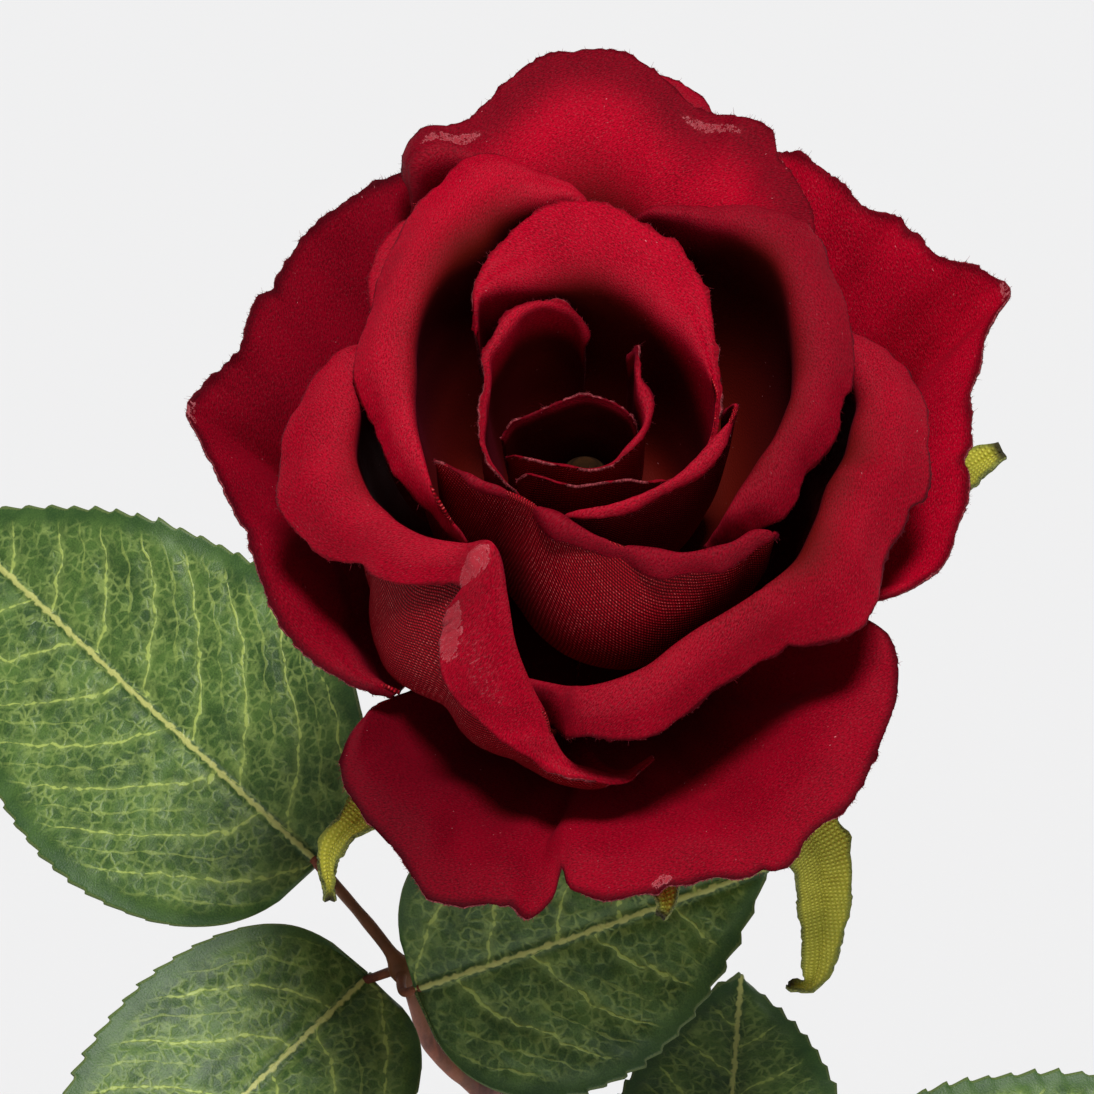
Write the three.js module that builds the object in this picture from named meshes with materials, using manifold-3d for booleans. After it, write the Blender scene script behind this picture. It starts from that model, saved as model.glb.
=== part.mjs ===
// A fabric rose on one leafy stem, standing in a plain glazed bud vase.
// Millimetres, +Z up. The origin is the middle of the vase's foot, on the table.
import * as THREE from "three";
import { mergeVertices } from "three/addons/utils/BufferGeometryUtils.js";
import Module from "manifold-3d";

const wasm = await Module();
wasm.setup();

// ---------- driving dimensions ----------

const GAP = 0.3; // clearance left between pieces that touch
const PETAL_THICKNESS = 0.7;
const LEAF_THICKNESS = 0.65;
const SEPAL_THICKNESS = 0.65;

const BLOOM_AT = new THREE.Vector3(8, -45, 350); // foot of the petals, on the bloom's axis
const BLOOM_TILT = 18; // degrees that the bloom nods towards the front

const CORE_FOOT_RADIUS = 6.2; // the petals are threaded on a tapered core
const CORE_TOP_RADIUS = 2.5;
const CORE_HEIGHT = 26;
const SEAT_STEP = 1.1; // from the foot of one petal up to the next

const CALYX_TOP = -0.9; // heights along the bloom's axis
const CALYX_FOOT = -11;
const CALYX_RADIUS = 6.6;

const STEM_RADIUS = 2.4;
const PRICKLE_HEIGHT = 2.6;
const PRICKLE_RADIUS = 1.2;
const RACHIS_RADIUS = 0.85;
const RACHIS_FOOT_RADIUS = 1.9;
const STALK_RADIUS = 0.75;

const VASE_HEIGHT = 186;
const VASE_FOOT_RADIUS = 25;
const VASE_FLOOR = 5;
const WALL = 4;
const NECK_AT = 152;
const NECK_BORE = 8; // radius inside the neck, which the stem leans on
const MOUTH_BORE = 13.4;
const VASE_OUTSIDE = [ // radius and height up the outer face, from the foot to the lip
  [VASE_FOOT_RADIUS + 1.2, 1.4], [30, 18], [31, 38], [27.6, 66], [19.8, 98], [13.6, 128],
  [NECK_BORE + WALL, NECK_AT], [15, 170], [MOUTH_BORE + WALL, VASE_HEIGHT - 1.6],
];

// ---------- finishes ----------

const finish = (color, roughness) =>
  new THREE.MeshStandardMaterial({ color, roughness, metalness: 0 });
const PETAL = finish(0x8e0a20, 0.85);
const GREEN_LEAF = finish(0x3f6b35, 0.7);
const SEPAL_CLOTH = finish(0x8a8f2a, 0.8);
const STEM_PLASTIC = finish(0x5a2a20, 0.55);
const CALYX_PLASTIC = finish(0x5d7a2c, 0.6);
const CORE_FOAM = finish(0x3a0a10, 0.9);
const GLAZE = finish(0xece8e0, 0.2);

// ---------- solids from surfaces ----------

const degrees = THREE.MathUtils.degToRad;

// A closed blade of even thickness round a grid of points, grid[column][row]. Both faces are split
// along the same diagonals, so they stay apart however much the blade waves.
function bladeGeometry(grid, thickness) {
  const columns = grid.length;
  const rows = grid[0].length;
  const clampTo = (i, n) => Math.min(Math.max(i, 0), n - 1);
  const at = (i, j) => grid[clampTo(i, columns)][clampTo(j, rows)];
  const positions = [];
  for (const side of [0.5, -0.5]) {
    for (let i = 0; i < columns; i++) {
      for (let j = 0; j < rows; j++) {
        const across = at(i + 1, j).clone().sub(at(i - 1, j));
        const along = at(i, j + 1).clone().sub(at(i, j - 1));
        const normal = across.cross(along).normalize();
        positions.push(...at(i, j).clone().addScaledVector(normal, side * thickness));
      }
    }
  }
  const front = (i, j) => i * rows + j;
  const back = (i, j) => columns * rows + front(i, j);
  const index = [];
  const quad = (a, b, c, d) => index.push(a, b, c, a, c, d);
  for (let i = 0; i + 1 < columns; i++) {
    for (let j = 0; j + 1 < rows; j++) {
      quad(front(i, j), front(i + 1, j), front(i + 1, j + 1), front(i, j + 1));
      index.push(back(i, j), back(i + 1, j + 1), back(i + 1, j));
      index.push(back(i, j), back(i, j + 1), back(i + 1, j + 1));
    }
  }
  const edge = [];
  for (let i = 0; i < columns - 1; i++) edge.push([i, 0]);
  for (let j = 0; j < rows - 1; j++) edge.push([columns - 1, j]);
  for (let i = columns - 1; i > 0; i--) edge.push([i, rows - 1]);
  for (let j = rows - 1; j > 0; j--) edge.push([0, j]);
  edge.forEach((here, k) => {
    const next = edge[(k + 1) % edge.length];
    quad(back(...here), back(...next), front(...next), front(...here));
  });
  return new THREE.BufferGeometry()
    .setAttribute("position", new THREE.Float32BufferAttribute(positions, 3))
    .setIndex(index);
}

function toSolid(geometry) {
  const plain = geometry.clone();
  plain.deleteAttribute("normal");
  plain.deleteAttribute("uv");
  const merged = mergeVertices(plain, 1e-3);
  return new wasm.Manifold(
    new wasm.Mesh({
      numProp: 3,
      vertProperties: merged.attributes.position.array,
      triVerts: new Uint32Array(merged.index.array),
    }),
  );
}

// Several overlapping closed geometries made into one.
function fused(geometries) {
  const mesh = geometries.map(toSolid).reduce((whole, next) => whole.add(next)).getMesh();
  return new THREE.BufferGeometry()
    .setAttribute("position", new THREE.BufferAttribute(mesh.vertProperties, 3))
    .setIndex(new THREE.BufferAttribute(mesh.triVerts, 1));
}

function rodGeometry(path, radius, sides, steps) {
  const section = new THREE.Shape();
  for (let i = 0; i < sides; i++) {
    const turn = (2 * Math.PI * i) / sides;
    const corner = [radius * Math.cos(turn), radius * Math.sin(turn)];
    if (i === 0) section.moveTo(...corner);
    else section.lineTo(...corner);
  }
  section.closePath();
  return new THREE.ExtrudeGeometry(section, { steps, extrudePath: path, bevelEnabled: false });
}

const curveThrough = (points) =>
  new THREE.CatmullRomCurve3(points.map((p) => new THREE.Vector3(...p)), false, "centripetal");

const latheGeometry = (profile, segments) =>
  new THREE.LatheGeometry(profile.map(([r, z]) => new THREE.Vector2(r, z)), segments)
    .rotateX(Math.PI / 2);

// ---------- the bloom ----------

// Radius of the core at a height above the foot of the petals.
const coreRadius = (height) =>
  THREE.MathUtils.lerp(CORE_FOOT_RADIUS, CORE_TOP_RADIUS, Math.min(height / CORE_HEIGHT, 1));

// A petal is a fan of ribs that stand on the core. Each station is the cut end of one rib:
// [azimuth, radius, height, reach, drop, turn], in degrees and millimetres round the bloom's axis,
// azimuth 0 at the front and 90 on the right. The rib rises as a bowl to its shoulder, which lies
// reach inside and drop above the cut end, and turn degrees round from it, and there it rolls out.
// A cup past 90 degrees narrows to the shoulder, a fullness under 1 makes the bowl squarer, and a
// belly swells the middle of the petal by so many millimetres.
// Petals are listed from the outermost in, and each stands one step higher on the core.
const PETALS = [
  {
    name: "outer_petal_front", centre: 12, spread: 0.55, cup: 48, fullness: 0.8,
    stations: [
      [-45, 28.6, 8.8, 2, 0], [-45.5, 35.5, 11.6, 3, 0], [-41, 41, 12, 5, -1.3], [-34, 43.8, 12, 7, -1.8],
      [-26, 46, 11.5, 10, -2.6], [-20, 49.5, 11, 10, -2.6], [-12, 48.3, 11, 10, -2.6],
      [-7, 48.6, 10, 10, -2.6], [-3, 45, 10.2, 10, -2.6], [3, 46.2, 10.6, 10, -2.6],
      [10, 46.4, 11, 10, -2.6], [16, 45.9, 11.5, 10, -2.6], [22, 47.7, 12, 10, -2.6],
      [27, 48.4, 12.5, 10, -2.6], [32, 46.6, 13, 10, -2.6], [40, 45.9, 13.8, 10, -2.6],
      [48, 43.3, 13.8, 10, -2.6], [56, 41.4, 13.6, 7, -1.8], [64, 38.6, 13.5, 5, -1.3],
      [69, 35.6, 12.7, 3, 0], [70.5, 30.5, 9.8, 2, 0],
    ],
  },
  {
    name: "outer_petal_right", centre: 112, spread: 0.7, cup: 78, fullness: 0.65,
    stations: [
      [159, 40.5, 23.5, 1, -1], [155, 44.6, 28, 3, -3], [149, 46.5, 30, 6, -6], [141, 46.2, 30, 8, -8],
      [135, 46, 29.5, 10, -10], [131, 48.2, 28.5, 10, -10], [125, 49, 26.8, 10, -10],
      [121, 52.3, 25.6, 10, -10], [117.5, 54, 24.5, 10, -10], [113, 49.4, 24.2, 10, -10],
      [106, 45.8, 24, 10, -10], [98, 43.8, 23.2, 10, -10], [90, 42.7, 22.2, 10, -10], [82, 42, 21.2, 8, -8],
      [76, 40, 19.8, 6, -6], [71.5, 37, 18.6, 3, -1.6], [68, 33, 17, 1, -1],
    ],
  },
  {
    name: "outer_petal_left", centre: -98, spread: 0.7, cup: 76, fullness: 0.65,
    stations: [
      [-156.5, 38.8, 24.6, 1, -1], [-153, 41.8, 30, 3, -3], [-147, 41.2, 32.4, 6, -6],
      [-139, 41.8, 32, 8, -8], [-131, 42.4, 30.3, 10, -10], [-124, 41.6, 29, 10, -10],
      [-119, 42.4, 28, 10, -10], [-112, 41.9, 26, 10, -10], [-106, 44.3, 23.7, 10, -10],
      [-102.5, 46, 22.2, 10, -10], [-98, 43, 21, 10, -10], [-90, 39.8, 19.8, 10, -10],
      [-80, 37.8, 18.6, 9, -6.5], [-70, 37.2, 18, 8, -5.2], [-63, 37, 17.3, 6.5, -3.8],
      [-56, 35.7, 16.6, 5, -2.4], [-51, 34.4, 16, 3.4, -1.2], [-46.5, 33, 15.5, 2.2, -0.4],
      [-43, 31.2, 14, 1.4, 0],
    ],
  },
  {
    name: "outer_petal_back", centre: 180, spread: 0.9, cup: 80, fullness: 0.55,
    stations: [
      [207, 35.5, 27, 1, -1], [203, 39, 31.6, 1, -1], [196, 41.8, 34.2, 2, -1], [188, 45, 35.5, 3, 0],
      [180, 46.6, 36, 4, 0], [172, 47.4, 36, 4, 0], [165, 47, 35.3, 4, 0], [160, 43.8, 34.3, 3, 0],
      [156, 40.5, 31.6, 1, -1], [153, 36, 27, 1, -1],
    ],
  },
  {
    name: "middle_petal_left", centre: -55, spread: 0.7, cup: 100, fullness: 0.5, belly: 10.2, bellyPlace: 0.59,
    stations: [
      [-118, 26.5, 30, 1, 0], [-111, 28.7, 34, 3, 0.5], [-104, 30.8, 33, 5, 1.5], [-97, 31.8, 32, 6.5, 3],
      [-90, 33, 31, 7.5, 4], [-84, 33.8, 29.2, 8, 5], [-78, 34.2, 28, 8.5, 6], [-71, 32.5, 26.4, 7.5, 6.5],
      [-65, 30, 26.6, 6, 6], [-60, 28.6, 28.6, 5, 4.5], [-53, 28.2, 29.8, 5.5, 4],
      [-46, 26.8, 31.3, 5, 3.5], [-39, 25, 32.9, 4.5, 2.5], [-33, 24.6, 34, 4.2, 4, 4],
      [-35, 26.6, 30.5, 3.4, 2.8, 13], [-33.5, 28.8, 26.3, 3, 2.2, 16], [-29, 30.6, 22.8, 2.6, 1.6, 16.5],
      [-22, 31.6, 20.3, 2, 1, 13.5], [-12, 32.8, 17.8, 1.8, 0.5, 6], [-2, 34, 15.4, 2, -1.2, 2],
      [7, 34, 14, 2.2, -1.8, 0], [14, 30.8, 13.4, 1, -1, 0],
    ],
  },
  {
    name: "middle_petal_right", centre: 55, spread: 0.75, cup: 100, fullness: 0.5,
    stations: [
      [124, 28.5, 29, 1, -1], [119, 31.5, 31.5, 2, 0], [111, 34.6, 32, 4, 1.5], [104, 36.7, 31.2, 6, 3],
      [97, 38.3, 30.4, 7.5, 4], [90, 37.8, 29.8, 8, 5], [83, 38.3, 28.5, 9, 6], [76, 36.4, 27.2, 8.5, 6],
      [69, 35.3, 26.2, 7.5, 6.5], [63, 35.9, 25, 8, 7.5], [56, 35.6, 23.9, 7.5, 8],
      [49, 32.3, 23.2, 4.8, 8], [42, 30.9, 23, 4, 7.5], [35, 30.5, 23, 4, 7], [28, 30.3, 23, 4, 6.5],
      [21, 31.7, 22.3, 5, 6.5], [14, 32.8, 22, 5, 6], [6, 33, 22, 4.5, 5], [0, 32.5, 22.2, 4, 3.6],
      [-4, 29.6, 17.4, 2.3, 6.3], [-9.5, 27.4, 16, 1.7, 5.3], [-16.5, 24.8, 13.6, 1.1, 3.8],
    ],
  },
  {
    name: "middle_petal_back", centre: 173, spread: 0.8, cup: 86, fullness: 0.46,
    stations: [
      [128, 30.5, 33, 1, -1], [131, 34, 37, 4, -2], [136, 36.2, 39, 7, -4], [142, 37.8, 40, 9, -5],
      [149, 40.5, 41, 12, -6.5], [154, 41, 41.6, 13, -7], [159, 39.2, 42.2, 12, -7],
      [165, 40.5, 43, 13.5, -7], [171, 43.5, 43, 15.5, -7], [178, 45, 43, 16.5, -7],
      [184, 44.5, 43, 16, -7], [190, 42.7, 42.6, 14.5, -7], [196, 40, 42, 8, -3.5],
      [201, 38.4, 41.5, 6, -1.5], [207, 40, 40.3, 5, 0.5], [211, 39, 39, 3.5, 1], [215, 34, 35, 1, -1],
    ],
  },
  {
    name: "middle_petal_left_back", centre: -139, spread: 0.9, cup: 90, fullness: 0.55,
    stations: [
      [-163, 27.5, 31, 1, -1], [-157, 29.6, 36, 1, -1], [-149, 31.4, 38, 1.5, -0.5],
      [-142, 32.6, 37.5, 2, 0], [-134, 32.1, 36.5, 2, 0], [-128, 30.6, 35.2, 2, 0],
      [-124, 28.8, 33.8, 1.5, -0.5], [-121, 25.8, 29.5, 1, -1],
    ],
  },
  {
    name: "inner_petal_back", centre: 177, spread: 0.95, cup: 90, fullness: 0.6,
    stations: [
      [157, 24.4, 23, 1, -1], [161, 25.4, 26.3, 1, -1], [166, 26, 28, 1.2, 0], [173, 26.4, 28.6, 1.2, 0],
      [181, 26.3, 28.4, 1.2, 0], [188, 26, 27.6, 1.2, 0], [192, 25.5, 26, 1, -1], [196, 24.4, 23, 1, -1],
    ],
  },
  {
    name: "inner_petal_left", centre: -118, spread: 0.85, cup: 95, fullness: 0.5,
    stations: [
      [-184, 23.5, 38, 0.5, -1], [-177, 26.4, 42, 2, 0.5], [-170, 29.5, 42.2, 5, 1], [-164, 32, 42, 7.5, 1],
      [-157, 33, 41.6, 9, 1], [-150, 32.2, 40.8, 9.5, 1.5], [-143, 32, 39.5, 9.5, 2.5],
      [-136, 30.4, 38.3, 8, 3.5], [-128, 29, 37.4, 7, 4], [-119, 27.4, 36.8, 6, 4], [-110, 26.6, 36.3, 6, 4],
      [-102, 25.8, 36, 6, 4], [-93, 24.4, 35.3, 5, 4], [-84, 23.1, 34.6, 4, 4], [-75, 21.9, 33.8, 3, 4],
      [-67, 20.6, 32.8, 1.7, 4], [-60, 19.7, 31.8, 0.8, 3.5], [-54, 18.9, 30.5, 0.4, 2.5],
      [-49, 17.5, 28, 0.3, 0],
    ],
  },
  {
    name: "inner_petal_front", centre: -2, spread: 0.85, cup: 94, fullness: 0.48, belly: 7,
    stations: [
      [-73, 17.2, 35.5, 0.3, -1], [-67, 17.1, 38, 0.3, -1], [-59, 16.2, 38, 0.4, -0.5],
      [-51, 15.5, 37.2, 0.6, 0.5], [-42, 14.6, 37, 0.7, 1], [-31, 14.2, 36.7, 0.8, 1.5],
      [-19, 15, 36.1, 1, 2], [-7, 16.1, 35.9, 1.2, 2], [4, 17.4, 35.4, 1.4, 2], [14, 19.1, 35, 1.4, 2.2],
      [22, 20.8, 34.4, 1.5, 2.6], [31, 22.2, 34, 1.4, 2.6], [38, 23.4, 34, 1.3, 2.4],
      [45, 24, 34, 1, 2.2], [51, 24.2, 33.7, 0.9, 2], [56, 24.9, 33.2, 0.8, 1], [61, 24, 30.5, 0.4, 0],
    ],
  },
  {
    name: "inner_petal_right", centre: 110, spread: 0.85, cup: 92, fullness: 0.5,
    stations: [
      [171, 24.6, 36, 0.5, -1], [165, 26.2, 39.6, 1, 0], [157, 27.6, 40.2, 2, 0.5], [150, 29, 40.3, 3, 1],
      [143, 31.5, 40, 4.5, 2], [136, 33.3, 39.5, 6, 2.5], [130, 33.8, 39, 6.5, 2.8],
      [122, 32.5, 38.5, 6, 2.8],
      [114, 31.3, 38, 5.8, 2.8], [106, 30.6, 37.3, 6, 3], [99, 29.8, 36.6, 6, 3.4], [92, 28, 36, 5, 4],
      [88, 28, 35.4, 5.5, 4.4], [82, 26.6, 34.7, 4.8, 4.6], [76, 25, 34, 3.8, 4.8], [70, 24.8, 33.4, 4.2, 5],
      [64, 24, 32.8, 3.8, 4.8], [57, 22.4, 32.2, 2.6, 4.6], [51, 21.3, 31.6, 1.7, 4], [45, 19, 29, 0.5, 1],
    ],
  },
  {
    name: "bud_petal_right", centre: 40, spread: 0.95, cup: 90, fullness: 0.5,
    stations: [
      [99, 15.8, 34, 0.3, -1], [93, 16.8, 37.6, 0.6, 0], [85, 16.7, 38.2, 0.8, 0.6], [76, 16.3, 38.3, 1, 1],
      [66, 15.9, 38.3, 1.2, 1], [56, 15.4, 38.2, 1.2, 1], [46, 14.7, 38, 1, 1], [34, 14.2, 38, 0.8, 1],
      [22, 14.3, 38, 0.8, 1], [10, 14.4, 38, 0.8, 1], [0, 14.2, 37.6, 0.8, 0.6], [-8, 13.6, 36.6, 0.5, 0],
      [-14, 12.6, 34, 0.3, -1],
    ],
  },
  {
    name: "bud_petal_back", centre: 150, spread: 0.9, cup: 88, fullness: 0.5,
    stations: [
      [230, 15.8, 38, 0.3, -1], [224, 17.8, 41.6, 0.8, -1], [216, 19.2, 42.5, 2.6, -1.4],
      [207, 20.6, 43, 4.6, -2], [198, 22.2, 43.5, 6.6, -2.6], [189, 23.2, 43.9, 7.8, -3],
      [181, 23.7, 44, 8.3, -3.2], [173, 23.2, 44, 8, -3.2], [165, 21.8, 43.9, 7, -3],
      [158, 21, 43.7, 6.6, -2.8], [151, 20.9, 43.3, 6.8, -2.8], [144, 19.9, 42.7, 6, -2.6],
      [137, 18.9, 42, 5, -2.4], [128, 17.5, 41.2, 3.6, -2], [118, 16, 40.2, 2.2, -1.6],
      [108, 15, 39.2, 1.2, -1.2], [98, 14.6, 38.4, 0.6, -1], [88, 14.5, 37.6, 0.4, -0.8],
      [79, 14.3, 36.2, 0.4, -0.8], [72, 13.5, 33.5, 0.3, -0.8],
    ],
  },
  {
    name: "bud_petal_left", centre: -108, spread: 0.95, cup: 88, fullness: 0.5,
    stations: [
      [-181, 12.4, 34.5, 0.3, -1], [-176, 12.8, 37.6, 0.3, -1], [-170, 13.2, 39.3, 0.5, -1],
      [-159, 13.7, 40.3, 0.8, -0.5], [-147, 13.7, 40.6, 1, 0], [-135, 13.1, 41, 1, 0],
      [-124, 12.5, 41, 0.8, 0], [-113, 12.3, 40.6, 0.6, -0.4], [-103, 11.6, 40.1, 0.4, -0.6],
      [-93, 11.4, 40, 0.4, -0.6], [-83, 11.7, 39.9, 0.4, -0.6], [-73, 12.2, 39.6, 0.4, -0.6],
      [-63, 12.6, 39, 0.4, -0.6], [-53, 12.7, 38.2, 0.4, -0.6], [-45, 12.3, 36.5, 0.3, -1],
      [-39, 11.6, 34, 0.3, -1],
    ],
  },
  {
    name: "bud_petal_front", centre: 5, spread: 0.95, cup: 88, fullness: 0.5,
    stations: [
      [-47, 10.5, 33.5, 0.3, -1], [-38, 10.3, 36.4, 0.3, -1], [-24, 9.6, 37, 0.4, -1],
      [-10, 9.2, 37.2, 0.4, -1],
      [4, 9.1, 37.2, 0.4, -1], [18, 9.3, 37.2, 0.4, -1], [30, 10, 37.2, 0.5, -1], [39, 11.2, 37.1, 0.6, -1],
      [47, 12, 36.4, 0.5, -1], [54, 12, 33.5, 0.3, -1],
    ],
  },
  {
    name: "bud_petal_coil", centre: 35, spread: 0.95, cup: 88, fullness: 0.5,
    stations: [
      [154, 11, 33.5, 0.3, -1], [147, 10.6, 36.8, 0.4, -1], [138, 8.9, 37.2, 0.5, -0.6],
      [126, 7.7, 37.2, 0.8, 0],
      [112, 7.4, 37.2, 0.9, 0.3], [97, 7.5, 37.2, 0.9, 0.4], [82, 7.5, 37.2, 0.9, 0.4],
      [66, 7.3, 37.2, 0.8, 0.3],
      [48, 7.1, 37.2, 0.6, 0], [28, 7.1, 37.1, 0.4, -0.4], [8, 7.2, 37, 0.3, -0.6], [-12, 7.3, 37, 0.3, -0.6],
      [-30, 7.7, 37, 0.3, -0.6], [-45, 8.7, 36.9, 0.3, -0.6], [-57, 9.4, 36.2, 0.3, -1],
      [-66, 9.7, 33.5, 0.3, -1],
    ],
  },
  {
    name: "bud_petal_heart", centre: 186, spread: 0.95, cup: 88, fullness: 0.5,
    stations: [
      [274, 9.2, 32.4, 0.2, -1], [265, 7.9, 33.9, 0.2, -1], [253, 6.1, 34.2, 0.2, -1],
      [237, 4.8, 34.2, 0.2, -1], [216, 3.9, 34.2, 0.2, -1], [192, 3.55, 34.3, 0.2, -1],
      [168, 3.55, 34.3, 0.2, -1], [144, 3.9, 34.2, 0.2, -1], [124, 4.4, 34.2, 0.2, -1],
      [106, 5.1, 34, 0.2, -1], [94, 5.6, 32, 0.2, -1],
    ],
  },
];

const BOWL_STEPS = 4;
const BELLY_POWER = 4; // the higher, the fewer ribs a belly takes in
const LIP_STEPS = 2;

// One rib, from the core out to its station, as points in the bloom's own frame.
function petalRib(petal, seat, swell, [azimuth, radius, height, reach, drop, turn = 0]) {
  const foot = coreRadius(seat) + GAP + PETAL_THICKNESS / 2;
  const shoulder = { azimuth: azimuth + turn, radius: radius - reach, height: height + drop };
  const footAzimuth = petal.centre + petal.spread * (shoulder.azimuth - petal.centre);
  const cup = degrees(petal.cup);
  const place = (a, r, h) =>
    new THREE.Vector3(r * Math.sin(degrees(a)), -r * Math.cos(degrees(a)), h);
  const rib = [];
  for (let k = 0; k <= BOWL_STEPS; k++) {
    const along = k / BOWL_STEPS;
    const outward = (Math.sin(along * cup) / Math.sin(cup)) ** petal.fullness;
    const upward = (1 - Math.cos(along * cup)) / (1 - Math.cos(cup));
    rib.push(place(
      THREE.MathUtils.lerp(footAzimuth, shoulder.azimuth, along),
      THREE.MathUtils.lerp(foot, shoulder.radius, outward) + swell * Math.sin(Math.PI * along),
      THREE.MathUtils.lerp(seat, shoulder.height, upward),
    ));
  }
  const crest = 0.2 * reach + 0.15; // how far the roll rises above its shoulder
  const bend = drop < 0 ? 1.1 : 2; // a lip that still climbs is nearly straight
  for (let k = 1; k <= LIP_STEPS; k++) {
    const along = k / LIP_STEPS;
    const rise = 2 * along * (1 - along) * crest;
    rib.push(place(
      shoulder.azimuth - turn * along,
      shoulder.radius + reach * along,
      shoulder.height - drop * along ** bend + rise,
    ));
  }
  return rib;
}

function petalGeometry(petal, seat) {
  const { stations, belly = 0, bellyPlace = 0.5 } = petal;
  const skew = Math.log(0.5) / Math.log(bellyPlace); // moves the widest rib to its place in the row
  const grid = stations.map((station, i) => {
    const swell = belly * Math.sin(Math.PI * (i / (stations.length - 1)) ** skew) ** BELLY_POWER;
    return petalRib(petal, seat, swell, station);
  });
  if (stations[0][0] > stations.at(-1)[0]) grid.reverse(); // left to right, so that its faces look out
  return bladeGeometry(grid, PETAL_THICKNESS);
}

const coreProfile = [
  [0, CALYX_TOP + GAP],
  [CORE_FOOT_RADIUS, CALYX_TOP + GAP],
  [CORE_FOOT_RADIUS, 0],
  [coreRadius(CORE_HEIGHT - 2), CORE_HEIGHT - 2],
  [CORE_TOP_RADIUS * 0.6, CORE_HEIGHT],
  [0, CORE_HEIGHT],
];

const calyxProfile = [
  [0, CALYX_FOOT],
  [3, CALYX_FOOT],
  [4.4, CALYX_FOOT + 1.6],
  [CALYX_RADIUS, CALYX_FOOT + 5],
  [CALYX_RADIUS, CALYX_FOOT + 7],
  [5.6, CALYX_TOP - 0.6],
  [5.2, CALYX_TOP],
  [0, CALYX_TOP],
];

// ---------- sepals ----------

// Each sepal's spine in the bloom's frame: right, back and up from the foot of the petals.
const SEPALS = [
  {
    name: "sepal_front", halfWidth: 3.6,
    spine: [[1.3, -6.6, -2.2], [4, -20, -4.5], [7, -33, -3], [8.6, -38.4, 0.4], [9, -41.4, 0.6],
      [8.4, -42.2, -0.8]],
  },
  {
    name: "sepal_front_right", halfWidth: 3.4,
    spine: [[5.4, -4, -2.2], [16, -14.5, -7], [25.6, -24, -13], [27.6, -29, -22], [26.2, -34, -32],
      [23.8, -33, -34]],
  },
  {
    name: "sepal_right", halfWidth: 3.6,
    spine: [[6, 3, -2.2], [20, 10, -5], [35, 18, -9], [45, 23, -10.5], [49.5, 25, -9.5]],
  },
  {
    name: "sepal_back", halfWidth: 3.6,
    spine: [[-3.3, 5.9, -2.2], [-9, 17, -7], [-14, 29, -15], [-17, 38, -25], [-16, 42, -33]],
  },
  {
    name: "sepal_left", halfWidth: 3.4,
    spine: [[-5.6, -3.7, -2.2], [-15, -12.5, -8], [-24.5, -21, -13.5], [-29, -25, -16.5],
      [-29.2, -28.5, -22]],
  },
];
const SEPAL_COLUMNS = 9;
const SEPAL_HOLLOW = 0.28; // how far the edges stand above the middle, as a part of the half width

function sepalGeometry({ spine, halfWidth }) {
  const curve = curveThrough(spine);
  const grid = [];
  for (let i = 0; i <= SEPAL_COLUMNS; i++) {
    const along = i / SEPAL_COLUMNS;
    const middle = curve.getPointAt(along);
    const tangent = curve.getTangentAt(along);
    const side = new THREE.Vector3(0, 0, 1).cross(tangent).normalize();
    const up = tangent.clone().cross(side);
    const width = halfWidth * Math.max(0.16, 1.15 * Math.sin(Math.PI * (0.12 + 0.86 * along)) ** 0.8);
    const across = (share) => middle.clone()
      .addScaledVector(side, share * width)
      .addScaledVector(up, SEPAL_HOLLOW * width * Math.abs(share));
    grid.push([across(1), across(0), across(-1)]);
  }
  return bladeGeometry(grid, SEPAL_THICKNESS);
}

// ---------- leaves ----------

// A leaflet lies along +Y from its foot at the origin, with its upper face to +Z.
const LEAFLET_TEETH = 13; // along each margin
const LEAFLET_ROWS = [-1, -0.5, 0, 0.5, 1];
const TOOTH_DEPTH = 0.9;

// Half the width of a leaflet of half width 1, at a share of its length: round at the foot, pointed
// at the tip.
const leafletOutline = (along) => Math.max(0.02, 1.71 * along ** 0.34 * (1 - along ** 1.8));

function leafletGeometry({ length, halfWidth, fold, arch, wave }) {
  const columns = 2 * LEAFLET_TEETH + 1;
  const grid = [];
  for (let i = 0; i <= columns; i++) {
    const along = i / columns;
    const tooth = i > 0 && i < columns && i % 2 === 1 ? TOOTH_DEPTH : 0;
    const width = halfWidth * leafletOutline(along);
    grid.push(LEAFLET_ROWS.map((share) => {
      const margin = Math.abs(share);
      const x = share * width + Math.sign(share) * tooth * margin ** 6;
      const y = length * along + tooth * margin ** 6;
      const z = fold * margin * width - arch * length * along ** 2
        + wave * margin ** 2 * Math.sin(along * 9 + share);
      return new THREE.Vector3(x, y, z);
    }));
  }
  grid.reverse(); // so that the upper face is the outside one
  return bladeGeometry(grid, LEAF_THICKNESS);
}

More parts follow.
